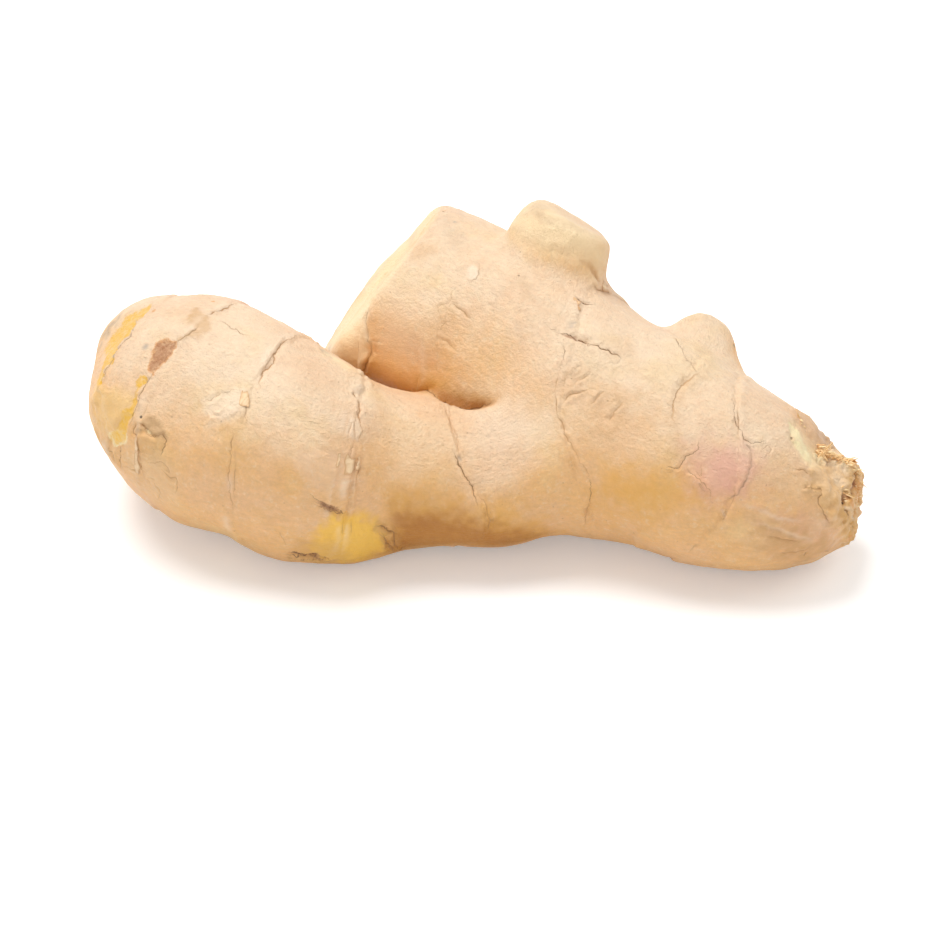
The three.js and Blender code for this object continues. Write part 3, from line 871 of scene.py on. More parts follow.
BACK_LINES = [
    line([620, 380, 632, 392, 640, 410, 655, 418], 0.5, 0.35, 0.25, dark=0.9),
    line([655, 418, 668, 416, 680, 420], 0.3, 0.3, 0.15, brown=0.7),
    line([250, 360, 262, 372, 266, 388], 0.35, 0.3, 0.2, brown=0.8),
    line([750, 400, 762, 410, 768, 424, 764, 440], 0.35, 0.3, 0.2, dark=0.6),
    line([700, 350, 715, 352, 728, 360], 0.3, 0.3, 0.2, scar=0.8),
    line([500, 420, 512, 430, 530, 434], 0.5, 0.4, 0.2, dark=0.7),
]

FRONT_PATCHES = [
    patch([153, 302, 142, 308, 129, 314, 122, 321, 115, 329, 108, 340, 102, 350, 98, 364, 90, 375, 94, 388,
        101, 383, 102, 371, 110, 362, 115, 351, 121, 342, 129, 335, 136, 321, 147, 311], 0.2, 0.35,
        (-0.35, 0.06, 1.5), yellow=1),
    patch([121, 314, 106, 328, 93, 350, 86, 370, 86, 390, 94, 364, 103, 340, 119, 321], 0.3, 0.6,
        (0.15, 0.4, 1.2), grey=0.7, tan=0.6, scar=0.6),
    patch([142, 371, 149, 378, 140, 391, 138, 399, 136, 412, 130, 420, 128, 431, 126, 443, 115, 446,
        110, 441, 108, 433, 115, 430, 119, 420, 122, 410, 130, 406, 135, 391, 136, 381], 0.3, 0.4,
        (-0.3, 0.06, 1.5), yellow=0.8),
    patch([126, 430, 127, 443, 115, 447, 109, 442, 107, 433, 116, 430], 0.3, 0.3, lime=1),
    patch([155, 340, 164, 337, 180, 340, 176, 350, 169, 359, 162, 366, 153, 376, 146, 371, 148, 360,
        151, 349], 0.2, 0.5, (-0.12, 0.16, 0.9), orange=0.85, brown=0.66, dark=0.36),
    patch([184, 321, 196, 308, 203, 311, 206, 318, 213, 323, 212, 331, 199, 336, 187, 340, 178, 341,
        188, 333, 197, 328], 0.3, 0.5, (0.1, 0.12, 1.4), tan=0.75),
    patch([202, 398, 222, 391, 244, 388, 247, 400, 240, 412, 222, 420, 206, 414], 0.8, 0.5, (0.1, 0.3, 1.6),
        pale=0.5),
    patch([220, 430, 232, 420, 244, 412, 246, 425, 234, 440, 222, 444], 0.8, 0.5, (0, 0.1, 1.6),
        ochre=0.25),
    patch([136, 432, 138, 422, 150, 417, 162, 422, 166, 436, 158, 437, 150, 432, 144, 429], 0.4, 0.3,
        (0.15, 0.25, 1.1), tan=0.8, grey=0.3),
    patch([136, 440, 141, 434, 150, 435, 158, 440, 160, 449, 152, 454, 142, 453, 136, 448], 0.8, 0.3,
        (0.5, 0.1, 1.4), tan=0.4),
    patch([146, 428, 150, 430, 156, 434, 154, 437, 149, 434], 0.15, 0.2, (-0.3, 0.2, 0.8), lime=0.8),
    patch([120, 450, 140, 456, 165, 460, 182, 478, 180, 500, 160, 503, 140, 490, 124, 470], 1.4, 0.6,
        (0, 0.16, 1.2), tan=0.25, pale=0.15),
    patch([92, 372, 104, 388, 122, 392, 134, 398, 126, 418, 112, 432, 101, 432, 90, 400], 1.6, 0.8,
        (0.1, 0.45, 1.7), gold=0.35, cream=0.3),
    patch([101, 440, 108, 440, 112, 452, 108, 457, 103, 456], 0.2, 0.3, (0.35, 0.1, 1), tan=0.8, pale=0.3),
    patch([300, 452, 330, 446, 352, 455, 355, 480, 340, 492, 312, 486, 298, 470], 2, 0.8, (0, 0.12, 2),
        pale=0.25, pink=0.1),
    patch([352, 389, 359, 384, 365, 386, 362, 391, 359, 396, 355, 392], 0.2, 0.25, (0.2, 0, 1), grey=0.35),
    patch([350, 420, 360, 418, 362, 430, 358, 441, 351, 438], 0.3, 0.3, (0.2, 0.05, 1), pale=0.4),
    patch([318, 501, 330, 504, 342, 511, 340, 515, 330, 512, 320, 507], 0.2, 0.3, (-0.25, 0.1, 0.8),
        brown=0.9, dark=0.62),
    patch([326, 522, 340, 514, 360, 516, 376, 521, 386, 535, 383, 549, 366, 562, 340, 566, 316, 562,
        308, 548, 316, 534], 1.6, 1, (0.15, 0.2, 1.8), ochre=0.4, gold=1),
    patch([296, 540, 322, 538, 344, 546, 352, 562, 320, 566, 298, 558], 1.6, 1, (0, 0.15, 1.4), tan=0.6,
        ochre=0.35),
    patch([360, 552, 384, 538, 398, 536, 402, 552, 380, 564, 360, 566], 1.6, 0.8, (0, 0.1, 1.4), ochre=0.6,
        deep=0.15),
    patch([285, 552, 300, 554, 316, 555, 331, 558, 317, 559, 299, 557], 0.2, 0.35, (-0.5, 0.15, 0.8),
        brown=0.9, dark=0.8, black=0.64),
    patch([290, 554, 322, 557, 345, 566, 310, 570, 286, 560], 0.5, 0.6, (0, 0.2, 1.2), tan=0.7),
    # painted shade on the neck's underside, in ochre
    patch([396, 498, 440, 508, 490, 512, 540, 520, 560, 545, 430, 560, 392, 556], 4.5, 1.5, ochre=1),
    patch([374, 520, 388, 524, 398, 532, 402, 546, 392, 554, 382, 544, 374, 532], 0.4, 0.6,
        (0.1, 0.45, 1.1), tan=0.7, ochre=0.3, brown=0.35),
    # painted shade on the foot of the lobe, along the gap
    patch([366, 370, 385, 379, 405, 387, 425, 391, 440, 396, 440, 384, 420, 376, 395, 369, 375, 360], 2,
        0.5, deep=0.15, ochre=0.3),
    patch([424, 376, 438, 379, 450, 385, 466, 392, 480, 397, 492, 400, 488, 403, 474, 405, 461, 404,
        452, 401, 443, 398, 434, 394, 422, 388], 1.6, 0.4, deep=0.3, ochre=0.6),
    patch([432, 386, 446, 393, 462, 399, 478, 402, 474, 405, 461, 404, 452, 401, 443, 398, 434, 394], 0.8,
        0.3, deep=0.3),
    # painted light on the lobe's left side
    patch([372, 292, 398, 276, 430, 298, 436, 340, 404, 356, 378, 348, 370, 322], 4, 1, pale=0.4),
    # the end bud of the lobe, its cream colour partly painted light where it lies in shade, and the flat
    # strip above it
    patch([352, 306, 368, 298, 367, 321, 370, 345, 366, 366, 345, 368, 326, 352, 332, 332], 1, 0.4,
        cream=0.9, pale=0.4),
    patch([449, 196, 405, 225, 388, 250, 366, 282, 350, 306, 324, 330, 318, 352, 345, 368, 366, 374,
        371, 350, 367, 321, 369, 302, 376, 289, 394, 266, 405, 250, 424, 224, 446, 206], 0.8, 0.4,
        (-0.1, 0.05, 2), cream=0.3),
    patch([323, 340, 333, 346, 331, 356, 322, 352], 0.4, 0.4, (0, 0.1, 1), grey=0.6, brown=0.4),
    patch([329, 345, 334, 348, 332, 352], 0.3, 0.2, orange=0.7),
    patch([340, 356, 366, 356, 366, 374, 346, 368], 1.2, 0.6, ochre=0.15),
    patch([407, 226, 416, 224, 418, 236, 410, 244], 0.8, 0.5, (0, 0.1, 1), grey=0.5, pink=0.2),
    patch([436, 214, 452, 216, 468, 240, 452, 250, 440, 240], 1.5, 0.8, grey=0.2),
    patch([410, 244, 424, 240, 434, 252, 424, 262, 412, 258], 1.2, 0.8, (0, 0.05, 1), tan=0.35, lime=0.15),
    patch([466, 268, 474, 264, 479, 270, 476, 279, 469, 279], 0.3, 0.2, (0.15, 0, 1), pale=0.7),
    # the warm neck and trunk, with painted shade along the neck's underside
    patch([388, 410, 450, 412, 470, 450, 460, 500, 400, 500, 380, 460], 5, 1.5, ochre=0.22),
    patch([392, 512, 420, 513, 460, 518, 500, 526, 540, 532, 560, 552, 430, 562, 394, 558], 2.6, 1,
        deep=0.85),
    patch([392, 490, 440, 494, 474, 502, 480, 520, 400, 516], 3, 1, deep=0.2),
    patch([600, 390, 660, 395, 668, 450, 610, 460, 590, 420], 5, 2, ochre=0.15, tan=0.12),
    patch([92, 392, 120, 396, 136, 440, 118, 456, 104, 446], 3, 1, tan=0.1),
    patch([180, 335, 235, 312, 290, 340, 285, 390, 235, 405, 185, 380], 6, 1.5, pale=0.25),
    # painted light on the bright saddle and on the trunk's lit back
    patch([486, 412, 520, 402, 552, 412, 560, 436, 530, 450, 496, 442], 5, 1.5, pale=0.6),
    patch([560, 300, 600, 300, 680, 345, 700, 372, 640, 380, 590, 360], 5, 1.5, pale=0.25),
    patch([690, 372, 676, 392, 668, 420, 672, 458, 684, 452, 682, 420, 690, 395, 704, 378], 2, 1,
        (0, 0.05, 2), tan=0.3),
    patch([562, 333, 574, 335, 589, 342, 590, 344, 577, 341, 566, 337], 0.1, 0.2, (-0.3, 0, 1), brown=0.9),
    # the trunk's wrinkles and its pink patch
    patch([566, 366, 600, 360, 628, 392, 620, 440, 590, 446, 568, 420], 2, 0.6, (0, 0.22, 2), tan=0.15),
    patch([686, 450, 700, 444, 726, 443, 748, 447, 764, 462, 760, 480, 740, 494, 722, 508, 698, 505,
        682, 486], 4, 1.8, (0, 0.05, 2), pink=0.45),
    patch([704, 456, 724, 452, 746, 455, 749, 470, 742, 486, 724, 492, 706, 484], 3, 1.6, (0, 0.05, 2),
        pink=0.35),
    patch([688, 470, 698, 474, 712, 488, 716, 500, 700, 500, 690, 488], 0.8, 0.6, (0, 0.25, 1.5),
        orange=0.2),
    patch([610, 470, 668, 476, 690, 500, 650, 520, 610, 510, 596, 490], 5, 2, ochre=0.75),
    patch([760, 520, 800, 530, 830, 548, 800, 566, 760, 545], 4, 2, (0, 0.1, 2), tan=1, pink=0.3),
    patch([752, 500, 790, 512, 836, 534, 830, 546, 790, 530, 756, 516], 3, 2, (0, 0.1, 2), pink=0.3),
    # the right end
    patch([806, 470, 816, 466, 830, 466, 842, 470, 850, 480, 846, 500, 846, 516, 836, 528, 828, 526,
        823, 512, 817, 501, 819, 491, 807, 488, 814, 480], 0.25, 0.5, (0.35, 0.5, 1.8), tan=0.35,
        gold=0.15),
    patch([804, 484, 812, 482, 820, 486, 818, 494, 810, 498, 804, 492], 0.3, 0.5, (0.2, 0.3, 1.2), tan=0.4),
    patch([790, 421, 801, 432, 815, 447, 826, 459, 821, 467, 812, 468, 804, 460, 797, 450, 789, 434], 0.6,
        0.5, (-0.45, 0.3, 1), cream=0.7, lime=0.45),
    patch([790, 422, 799, 428, 808, 442, 815, 458, 808, 462, 797, 447], 0.3, 0.5, (0, 0.1, 1), lime=0.9),
    patch([792, 404, 806, 411, 820, 424, 832, 446, 824, 450, 817, 447, 806, 433, 794, 420], 0.5, 0.6,
        (0.6, 0.5, 1.4), grey=0.15, tan=0.5, pink=0.2),
    patch([794, 418, 799, 417, 798, 423], 0.2, 0.2, orange=0.9),
    patch([813, 455, 823, 449, 832, 452, 843, 450, 855, 458, 858, 472, 846, 472, 834, 468, 824, 464], 0.3,
        0.6, (0.5, 0.7, 1.1), orange=0.5, cream=0.5),
    patch([840, 492, 846, 489, 848, 498, 844, 505, 838, 501], 0.3, 0.3, (-0.8, 0.3, 1), brown=0.9),
    patch([845, 508, 856, 502, 860, 512, 852, 520, 846, 516], 0.3, 0.4, (0.4, 0.4, 1.2), pale=0.4),
    # the top knob: its own cream and gold, with painted light on its shaded front
    patch([508, 232, 518, 210, 540, 200, 568, 203, 600, 228, 612, 262, 598, 276, 582, 258, 555, 250,
        530, 243], 4, 0.8, (0, 0.1, 1.8), cream=0.8, pale=0.3, gold=0.12),
    patch([534, 214, 544, 216, 546, 225, 537, 224], 0.8, 0.4, (0, 0.1, 1), tan=0.4),
]
BACK_PATCHES = [
    patch([300, 330, 330, 318, 352, 336, 340, 362, 312, 366], 1.2, 0.8, (0, 0.2, 1.8), tan=0.4, brown=0.2),
    patch([680, 400, 720, 392, 744, 416, 726, 446, 690, 440], 3, 1.2, (0, 0.05, 2), pink=0.35),
    patch([390, 330, 420, 318, 440, 340, 424, 366, 396, 362], 1.5, 1, (0, 0.15, 2), tan=0.4, grey=0.2),
]

# Each patch has noise of its own, by its place in the list, so a new one goes last.
LINES = [("front", *mark) for mark in FRONT_LINES] + [("back", *mark) for mark in BACK_LINES]
PATCHES = [("front", *mark) for mark in FRONT_PATCHES] + [("back", *mark) for mark in BACK_PATCHES]

# The deep crease that carries on from the gap between lobe and finger: frame places and depth at each.
CREASE = path_of([423, 391, 434, 395, 443, 398, 452, 401, 462, 405, 475, 406, 490, 404, 504, 399])
CREASE_DEPTH = [0.0, 0.3, 1.2, 1.8, 1.7, 1.2, 0.5, 0.0]
CREASE_WIDTHS = 2.4, 0.6
CREASE_REACH = 9
# The painted shade along it, and its warm tint, partly painted light: how much, and how far they reach above
# and below.
CREASE_STAINS = {"tucked": (0.5, 2.4, 0.5), "deep": (0.8, 1.8, 0.3)}

# Gentle bulges: view, place, radius, height.
BULGES = [
    ("front", (520, 226), 4.5, 1.3),
    ("front", (350, 357), 5.0, 1.4),
    ("front", (429, 389), 2.6, 1.0),
    ("front", (806, 424), 3.5, 1.3),
    ("front", (834, 450), 3.0, -0.8),
    ("front", (372, 350), 1.6, -0.6),
    ("front", (395, 380), 6.0, 1.4),
    ("front", (420, 386), 6.0, 1.4),
    ("front", (585, 225), 5.0, 0.5),
    ("front", (148, 436), 2.2, 0.5),
    ("front", (222, 404), 3.0, 0.3),
    ("front", (830, 495), 3.5, 0.5),
]

# How dark a line is for each stain that is drawn as a thin line, and the half width of the thinnest.
SEAM_DARKNESS = {"scar": 0.0, "orange": 0.15, "brown": 0.35, "dark": 0.65, "black": 1.0}
THINNEST_SEAM = 0.05

# Single dots: view, place, radius, height, stain.
DOTS = [
    ("front", (145.7, 347), 0.65, -0.05, "grey"),
    ("front", (141.3, 417), 0.3, -0.15, "black"),
    ("front", (154, 311), 0.5, 0.1, "orange"),
    ("front", (213, 302), 0.45, 0.1, "orange"),
    ("front", (518.7, 276), 0.22, -0.1, "dark"),
    ("front", (454.7, 223), 0.4, 0.05, "grey"),
    ("front", (571, 327), 0.6, 0, "grey"),
    ("front", (793, 437), 0.35, -0.1, "dark"),
    ("front", (817, 455), 0.35, -0.1, "dark"),
    ("front", (843, 502), 0.5, -0.5, "black"),
    ("front", (734, 346), 0.4, 0, "dark"),
    ("back", (220, 380), 0.4, -0.1, "dark"),
]

# A gap in a path that is longer than this, in millimetres, is left open.
LONGEST_GAP = 4
# More than any distance in millimetres or in pixels.
FAR = 1e9
# The side of the nearest line and how far off, where there is no line.
NO_SEAM = 9.0
# How far round a patch's outline, in pixels, its ragged edge may reach.
PATCH_MARGIN = 25


def near_path(points, path, margin, normals=None):
    """Which points are within the margin of a path's box, their distance, how far along it, and side."""
    low, high = path.min(0) - margin, path.max(0) + margin
    near = np.flatnonzero(((points > low) & (points < high)).all(1))
    p = points[near]
    distance, along, side = np.full(len(near), FAR), np.zeros(len(near)), np.ones(len(near))
    for i, (a, b) in enumerate(zip(path, path[1:])):
        ab = b - a
        if ab @ ab > LONGEST_GAP**2:
            continue
        t = np.clip((p - a) @ ab / max(ab @ ab, TINY), 0, 1)
        gap = np.linalg.norm(p - a - t[:, None] * ab, axis=1)
        closer = gap < distance
        distance[closer] = gap[closer]
        along[closer] = (i + t[closer]) / (len(path) - 1)
        if normals is not None:
            across = np.cross(normals[near], ab)
            side[closer] = np.sign(((p - a) * across).sum(1))[closer]
    return near, distance, along, side


def inside_by(places, outline):
    """How far inside an outline each frame place is, in pixels, negative outside."""
    inside = np.zeros(len(places), bool)
    distance = np.full(len(places), FAR)
    x, y = places.T
    for a, b in zip(outline, np.roll(outline, -1, 0)):
        crosses = (a[1] > y) != (b[1] > y)
        with np.errstate(divide="ignore", invalid="ignore"):
            at = a[0] + (y - a[1]) * (b[0] - a[0]) / (b[1] - a[1])
        inside ^= crosses & (x < at)
        ab = b - a
        t = np.clip((places - a) @ ab / (ab @ ab), 0, 1)
        distance = np.minimum(distance, np.linalg.norm(places - a - t[:, None] * ab, axis=1))
    return np.where(inside, distance, -distance)


def lay_spots(tree, spots):
    """Dots or bulges, each with its place on the skin, but without any that miss it."""
    found = [(cast(tree, view, *place), *rest) for view, place, *rest in spots]
    return [(np.array(place), *rest) for place, *rest in found if place is not None]


def lay_lines(tree):
    """Every line, as points on the skin, but without any that miss it."""
    found = [(lay(tree, view, path), *rest) for view, path, *rest in LINES]
    return [mark for mark in found if len(mark[0]) > 1]


def raise_mask(mask, values, near=slice(None)):
    """Raises a mask to the values where it is lower."""
    mask[near] = np.maximum(mask[near], values)


def mark_patches(points, normals, tree, height, masks):
    """Adds the patches to the height of each point and to the colour masks."""
    pixels_per_mm = PIXELS / DISTANCE
    flat = {view: frame_place(points, view) for view in VIEWS}
    seen = {view: seen_from(tree, view, points, normals) for view in VIEWS}
    for k, (view, outline, soft, ragged, rise, lumps, size, stains) in enumerate(PATCHES):
        low, high = outline.min(0) - PATCH_MARGIN, outline.max(0) + PATCH_MARGIN
        near = np.flatnonzero((seen[view] > 0) & ((flat[view] > low) & (flat[view] < high)).all(1))
        depth = inside_by(flat[view][near], outline) / pixels_per_mm
        depth += ragged * rough(points[near], 1.3, 40 + k, 2)
        clear = seen[view][near]
        share = clear * step(depth, -soft / 2, soft / 2)
        height[near] += share * (rise + lumps * rough(points[near], size, 60 + k, 2))
        for stain, strength in stains.items():
            if stain in CRISP:
                raise_mask(masks[stain], np.clip(0.5 + depth / 1.6, 0, 1) * strength * clear, near)
            else:
                masks[stain][near] += strength * clear * step(depth, -soft, soft)


def mark_crease(points, normals, crease, height, masks):
    """Adds the deep crease to the height of each point, and its painted shade to the colour masks."""
    near, distance, along, side = near_path(points, crease, CREASE_REACH, normals)
    side = side * np.sign((np.cross(normals[near], crease[-1] - crease[0]) @ CAMERA_UP).mean())
    depth = np.interp(along, np.linspace(0, 1, len(CREASE_DEPTH)), CREASE_DEPTH)

    def fold(above, below):
        return np.where(side > 0, bump(distance, above), bump(distance, below))

    height[near] -= depth * fold(*CREASE_WIDTHS)
    for stain, (share, *widths) in CREASE_STAINS.items():
        masks[stain][near] += share * np.clip(depth, 0, 1) * fold(*widths)


def mark_lines(points, normals, lines, height, masks):
    """Adds the lines to the height of each point and to the colour masks."""
    for path, groove, width, lip, stains in lines:
        near, distance, along, side = near_path(points, path, 4 * width + 1, normals)
        taper = np.clip(5 * np.minimum(along, 1 - along) + 0.2, 0, 1)
        wide = width * (0.8 + 0.35 * rough(points[near], 1.5, 9))
        middle = bump(distance, wide) * taper
        curl = lip * taper * bump(distance - 2.1 * wide, 1.2 * wide)
        height[near] += curl * (0.5 + 0.7 * rough(points[near], 1.8, 10)) - 0.65 * groove * middle
        for stain, strength in stains.items():
            if stain in SEAM_DARKNESS:
                clear = strength * (0.35 + 0.65 * taper)
                clear = clear * step(distance, 2.2 * width + 0.3, 1.2 * width + 0.1)
                found = clear > masks["crack_weight"][near]
                here = near[found]
                thin = THINNEST_SEAM + 0.3 * width
                masks["crack"][here] = (side * distance / thin)[found]
                masks["crack_dark"][here] = SEAM_DARKNESS[stain]
                masks["crack_weight"][here] = clear[found]
            else:
                raise_mask(masks[stain], strength * middle, near)


def mark_skin(points, normals, tree, lines, dots, masks):
    """Height of every mark at each point. Adds to the colour masks."""
    height = np.zeros(len(points))
    mark_patches(points, normals, tree, height, masks)
    mark_crease(points, normals, lay(tree, "front", CREASE, 0), height, masks)
    for place, radius, rise in lay_spots(tree, BULGES):
        height += rise * bump(np.linalg.norm(points - place, axis=1), radius)
    mark_lines(points, normals, lines, height, masks)
    for place, radius, rise, stain in dots:
        distance = np.linalg.norm(points - place, axis=1)
        height += rise * bump(distance, radius)
        raise_mask(masks[stain], np.clip(1.3 - 0.8 * distance / radius, 0, 1))
    return height


# ---- The skin ----

# The lengths of edges that are wanted in the mesh, and the most times that its triangles are split.
COARSE_EDGE = 1.0
RING_EDGE = 0.5
LINE_EDGE = 0.32
DOT_EDGE = 0.25
END_EDGE = 0.42
SPLITS = 6
# How high a corner of the solid may be and still count as resting on the ground.
GROUNDED = 0.02
# Where along the finger its thick part folds into its neck, and how far to either side the surface is evened
# out in full, the share by which it is elsewhere, and in how many rounds.
NECK_FOLD = 50
NECK_REACH = 7
EVEN_SHARE = 0.15
EVEN_ROUNDS = 24
# How far out from the skin it is measured whether there is room.
ROOM = (3, 6, 10)
# The low relief everywhere: height of its lumps, their size, and the seed of their noise. Then the height of
# the ridges along the grain.
LUMPS = [(0.10, 7, 20), (0.09, 3.1, 21), (0.05, 1.6, 22)]
RIDGES = 0.05


def wander(points):
    """How far a ring's line strays along the limb."""
    return 0.7 * rough(points, 6, 3) + 0.3 * rough(points, 1.9, 4)


def shorten(wanted, edge, close, near=slice(None)):
    """Lowers the lengths that are wanted towards an edge's length, as far as each point is close."""
    wanted[near] = np.minimum(wanted[near], COARSE_EDGE + (edge - COARSE_EDGE) * close)


def refine(points, triangles, lines, dots):
    """Splits the solid's triangles, finest along the rings and the lines."""
    for _ in range(SPLITS):
        total, parts = join_limbs(points)
        wanted = np.full(len(points), COARSE_EDGE)
        stray = wander(points)
        for _, past, share in each_ring(total, parts):
            shorten(wanted, RING_EDGE, step(np.abs(past + stray), 3.5, 1.0) * step(share, 0.02, 0.2))
        for path, _, width, *_ in lines:
            near, distance, _, _ = near_path(points, path, 2.6)
            shorten(wanted, LINE_EDGE, step(distance, 2.4, 1.2 * width), near)
        for place, radius, *_ in dots:
            distance = np.linalg.norm(points - place, axis=1)
            shorten(wanted, DOT_EDGE, step(distance, 2.0, 1.2 * radius))
        shorten(wanted, END_EDGE, step(points[:, 0], 64, 69) * step(points[:, 2], 2, 6))
        points, triangles, count = split(points, triangles, wanted)
        if not count:
            break
    return points, triangles


# Across a ring, in millimetres: how far its torn lip slopes back and on, where its groove lies and how wide
# it is, and how wide the dent is that both lie in. Then the height of the lip and depth of the two others.
LIP_BACK, LIP_ON = 1.5, 0.4
GROOVE_AT, GROOVE_WIDTH = 0.8, 0.6
DENT_WIDTH = 5.5
LIP_HEIGHT, GROOVE_DEPTH, DENT_DEPTH = 0.7, 0.7, 0.4
# Where the line in a ring's groove lies.
SEAM_AT = 0.5


def ring_relief(x, side):
    """Height x millimetres past a ring, as a share: a torn lip, and a crisp groove on its given side."""
    t = x * side
    lip = np.where(t < 0, bump(t, LIP_BACK), bump(t, LIP_ON))
    groove = bump(t - GROOVE_AT, GROOVE_WIDTH)
    return LIP_HEIGHT * lip - GROOVE_DEPTH * groove - DENT_DEPTH * bump(x, DENT_WIDTH)


def skin_relief(points, total, parts, places, shares, masks):
    """Height of the low relief at each point, in millimetres. Adds to the colour masks."""
    stray = wander(points)
    patchy = np.clip(0.6 + 0.7 * rough(points, 6, 5), 0.15, 1.3)
    broken = step(rough(points, 3.5, 6), -0.5, 0.4)
    torn = step(rough(points, 5, 7), -0.1, 0.5)
    height = np.zeros(len(points))
    for ring, past, share in each_ring(total, parts):
        x = past + stray
        side, dark = ring.side, ring.dark
        height += share * ring.lip * patchy * ring_relief(x, side)
        off = x * side - SEAM_AT
        clear = share * (0.1 + 0.9 * broken * torn) * (0.2 + 0.8 * dark) * step(np.abs(off), 1.8, 0.9)
        here = clear > masks["ring_seam_weight"]
        masks["ring_seam"][here] = off[here] / (0.08 + 0.1 * dark)
        masks["ring_seam_dark"][here] = (0.05 + 0.4 * dark * torn)[here]
        masks["ring_seam_weight"][here] = clear[here]
        raise_mask(masks["scar"], share * 0.55 * dark * torn * bump(off, 0.7))
        masks["pale"] += 0.5 * ring.paper * share * bump(x * side + 0.7, 0.8) * torn
    # The lobe's cut end, the first of the trunk's cuts, is creamy.
    at, facing, _ = limbs[0].cuts[0]
    masks["cream"] += 0.7 * step((points - at) @ facing, -0.9, -0.1) * step(parts[0][0] - total, 2.0, 0.5)
    height += sum(size * rough(points, lump, seed) for size, lump, seed in LUMPS)
    for k, grain in enumerate(GRAINS):
        stretched = places[grain] * np.array([0.9, 1, 1])
        ridges = 1 - 2.5 * np.abs(rough(stretched, 3.2, 30 + k)) + 0.5 * rough(stretched, 1.6, 33 + k)
        height += RIDGES * shares[grain] * ridges
    return height


# The torn face at the right end: a place on it, and the way it faces.
TORN_AT = np.array([74.6, 4, 12])
TORN_FACING = np.array([0.978, -0.202, 0.06])


def tear_end(points, masks):
    """Relief of the torn face at the right end: pits and fibrous lumps. Adds to the colour masks."""
    face = step((points - TORN_AT) @ TORN_FACING, -2.6, -0.8)
    lumps = rough(points, 2.2, 80, 2)
    pits = step(rough(points * np.array([0.5, 1, 1]), 2.6, 82, 2), 0.05, 0.6)
    shreds = 1 - 2 * np.abs(rough(points * np.array([1, 1, 0.45]), 1.1, 84, 2))
    near_end = step(points[:, 0], 60, 72)
    papery = rough(points * np.array([0.3, 1, 1]), 1.3, 86, 2)
    masks["tan"] += 0.4 * face + 0.4 * near_end * np.clip(papery, 0, 1)
    masks["pale"] += 0.4 * near_end * np.clip(-papery, 0, 1)
    masks["gold"] += 0.3 * face
    raise_mask(masks["orange"], face * (0.3 + 0.5 * lumps))
    raise_mask(masks["brown"], face * 0.8 * pits)
    raise_mask(masks["dark"], face * pits * 0.5)
    return face * (0.35 * lumps + 0.3 * shreds - 1.1 * pits) + 0.14 * near_end * papery


# How many millimetres along a limb make one of its grain's measures, how many of those go from its axis to
# its side, how far apart limbs of one set lie, and over how many millimetres one set gives way to the next.
GRAIN_LENGTH = 2.6
GRAIN_ROUND = 14
GRAIN_APART = 40
GRAIN_FADE = 0.7


def grain_places(points, total, parts):
    """For each set of limbs, coordinates that are stretched along the limb, and how much of it shows."""
    own = {limb.name: (limb, part[0]) for limb, part in zip(limbs, parts)}
    places, weights = {}, {}
    for grain, names in GRAINS.items():
        depth = np.stack([own[name][1] for name in names])
        first = depth.argmin(0)
        stack = np.stack([own[name][0].grain_place(points) for name in names])
        along, side, up = stack[first, np.arange(len(points))].T
        apart = GRAIN_APART * first
        places[grain] = rows(along / GRAIN_LENGTH, GRAIN_ROUND * side, GRAIN_ROUND * up + apart)
        weights[grain] = np.exp(-np.maximum(depth.min(0) - total, 0) / GRAIN_FADE)
    whole = sum(weights.values())
    return places, {grain: weight / whole for grain, weight in weights.items()}


def store(mesh, name, values):
    kind = "FLOAT_VECTOR" if values.ndim == 2 else "FLOAT"
    field = "vector" if values.ndim == 2 else "value"
    mesh.attributes.new(name, kind, "POINT").data.foreach_set(field, values.astype(np.float32).ravel())


def add_mesh(name, points, triangles, material):
    """A smooth-shaded mesh object from layout millimetres."""
    mesh = bpy.data.meshes.new(name)
    mesh.from_pydata(((points - ORIGIN) * MM).tolist(), [], triangles.tolist())
    mesh.materials.append(material)
    mesh.shade_smooth()
    made = bpy.data.objects.new(name, mesh)
    bpy.context.scene.collection.objects.link(made)
    return made


def clip_mesh(points, triangles, field, values):
    """The part of a mesh where the field is above 0, cut along its edge, with the values of its corners."""
    above = field > 0
    count = above[triangles].sum(1)
    made = [triangles[count == 3]]
    # Each cut triangle is turned so that its lone corner comes first.
    partly = (count == 1) | (count == 2)
    cut, lone = triangles[partly], count[partly] == 1
    first = (above[cut] == lone[:, None]).argmax(1)
    a, b, c = np.take_along_axis(cut, (np.arange(3) + first[:, None]) % 3, 1).T
    rims, which = np.unique(np.sort(rows(np.r_[a, a], np.r_[b, c]), 1), axis=0, return_inverse=True)
    t = field[rims[:, 0]] / (field[rims[:, 0]] - field[rims[:, 1]])
    everything = np.column_stack([points, values])
    new = everything[rims[:, 0]] + t[:, None] * (everything[rims[:, 1]] - everything[rims[:, 0]])
    ab, ac = len(points) + which.ravel().reshape(2, -1)
    made += [rows(a, ab, ac)[lone], rows(ab, b, c)[~lone], rows(ab, c, ac)[~lone]]
    everything, triangles = np.vstack([everything, new]), np.vstack(made)
    kept, triangles = np.unique(triangles, return_inverse=True)
    everything = everything[kept]
    return everything[:, :3], triangles.reshape(-1, 3), everything[:, 3:]


def islands(triangles, count):
    """A number for each corner, the same for all that hang together."""
    label = np.arange(count)
    while True:
        least = label[triangles].min(1)
        new = label.copy()
        for i in range(3):
            np.minimum.at(new, triangles[:, i], least)
        new = new[new]
        if (new == label).all():
            return label
        label = new


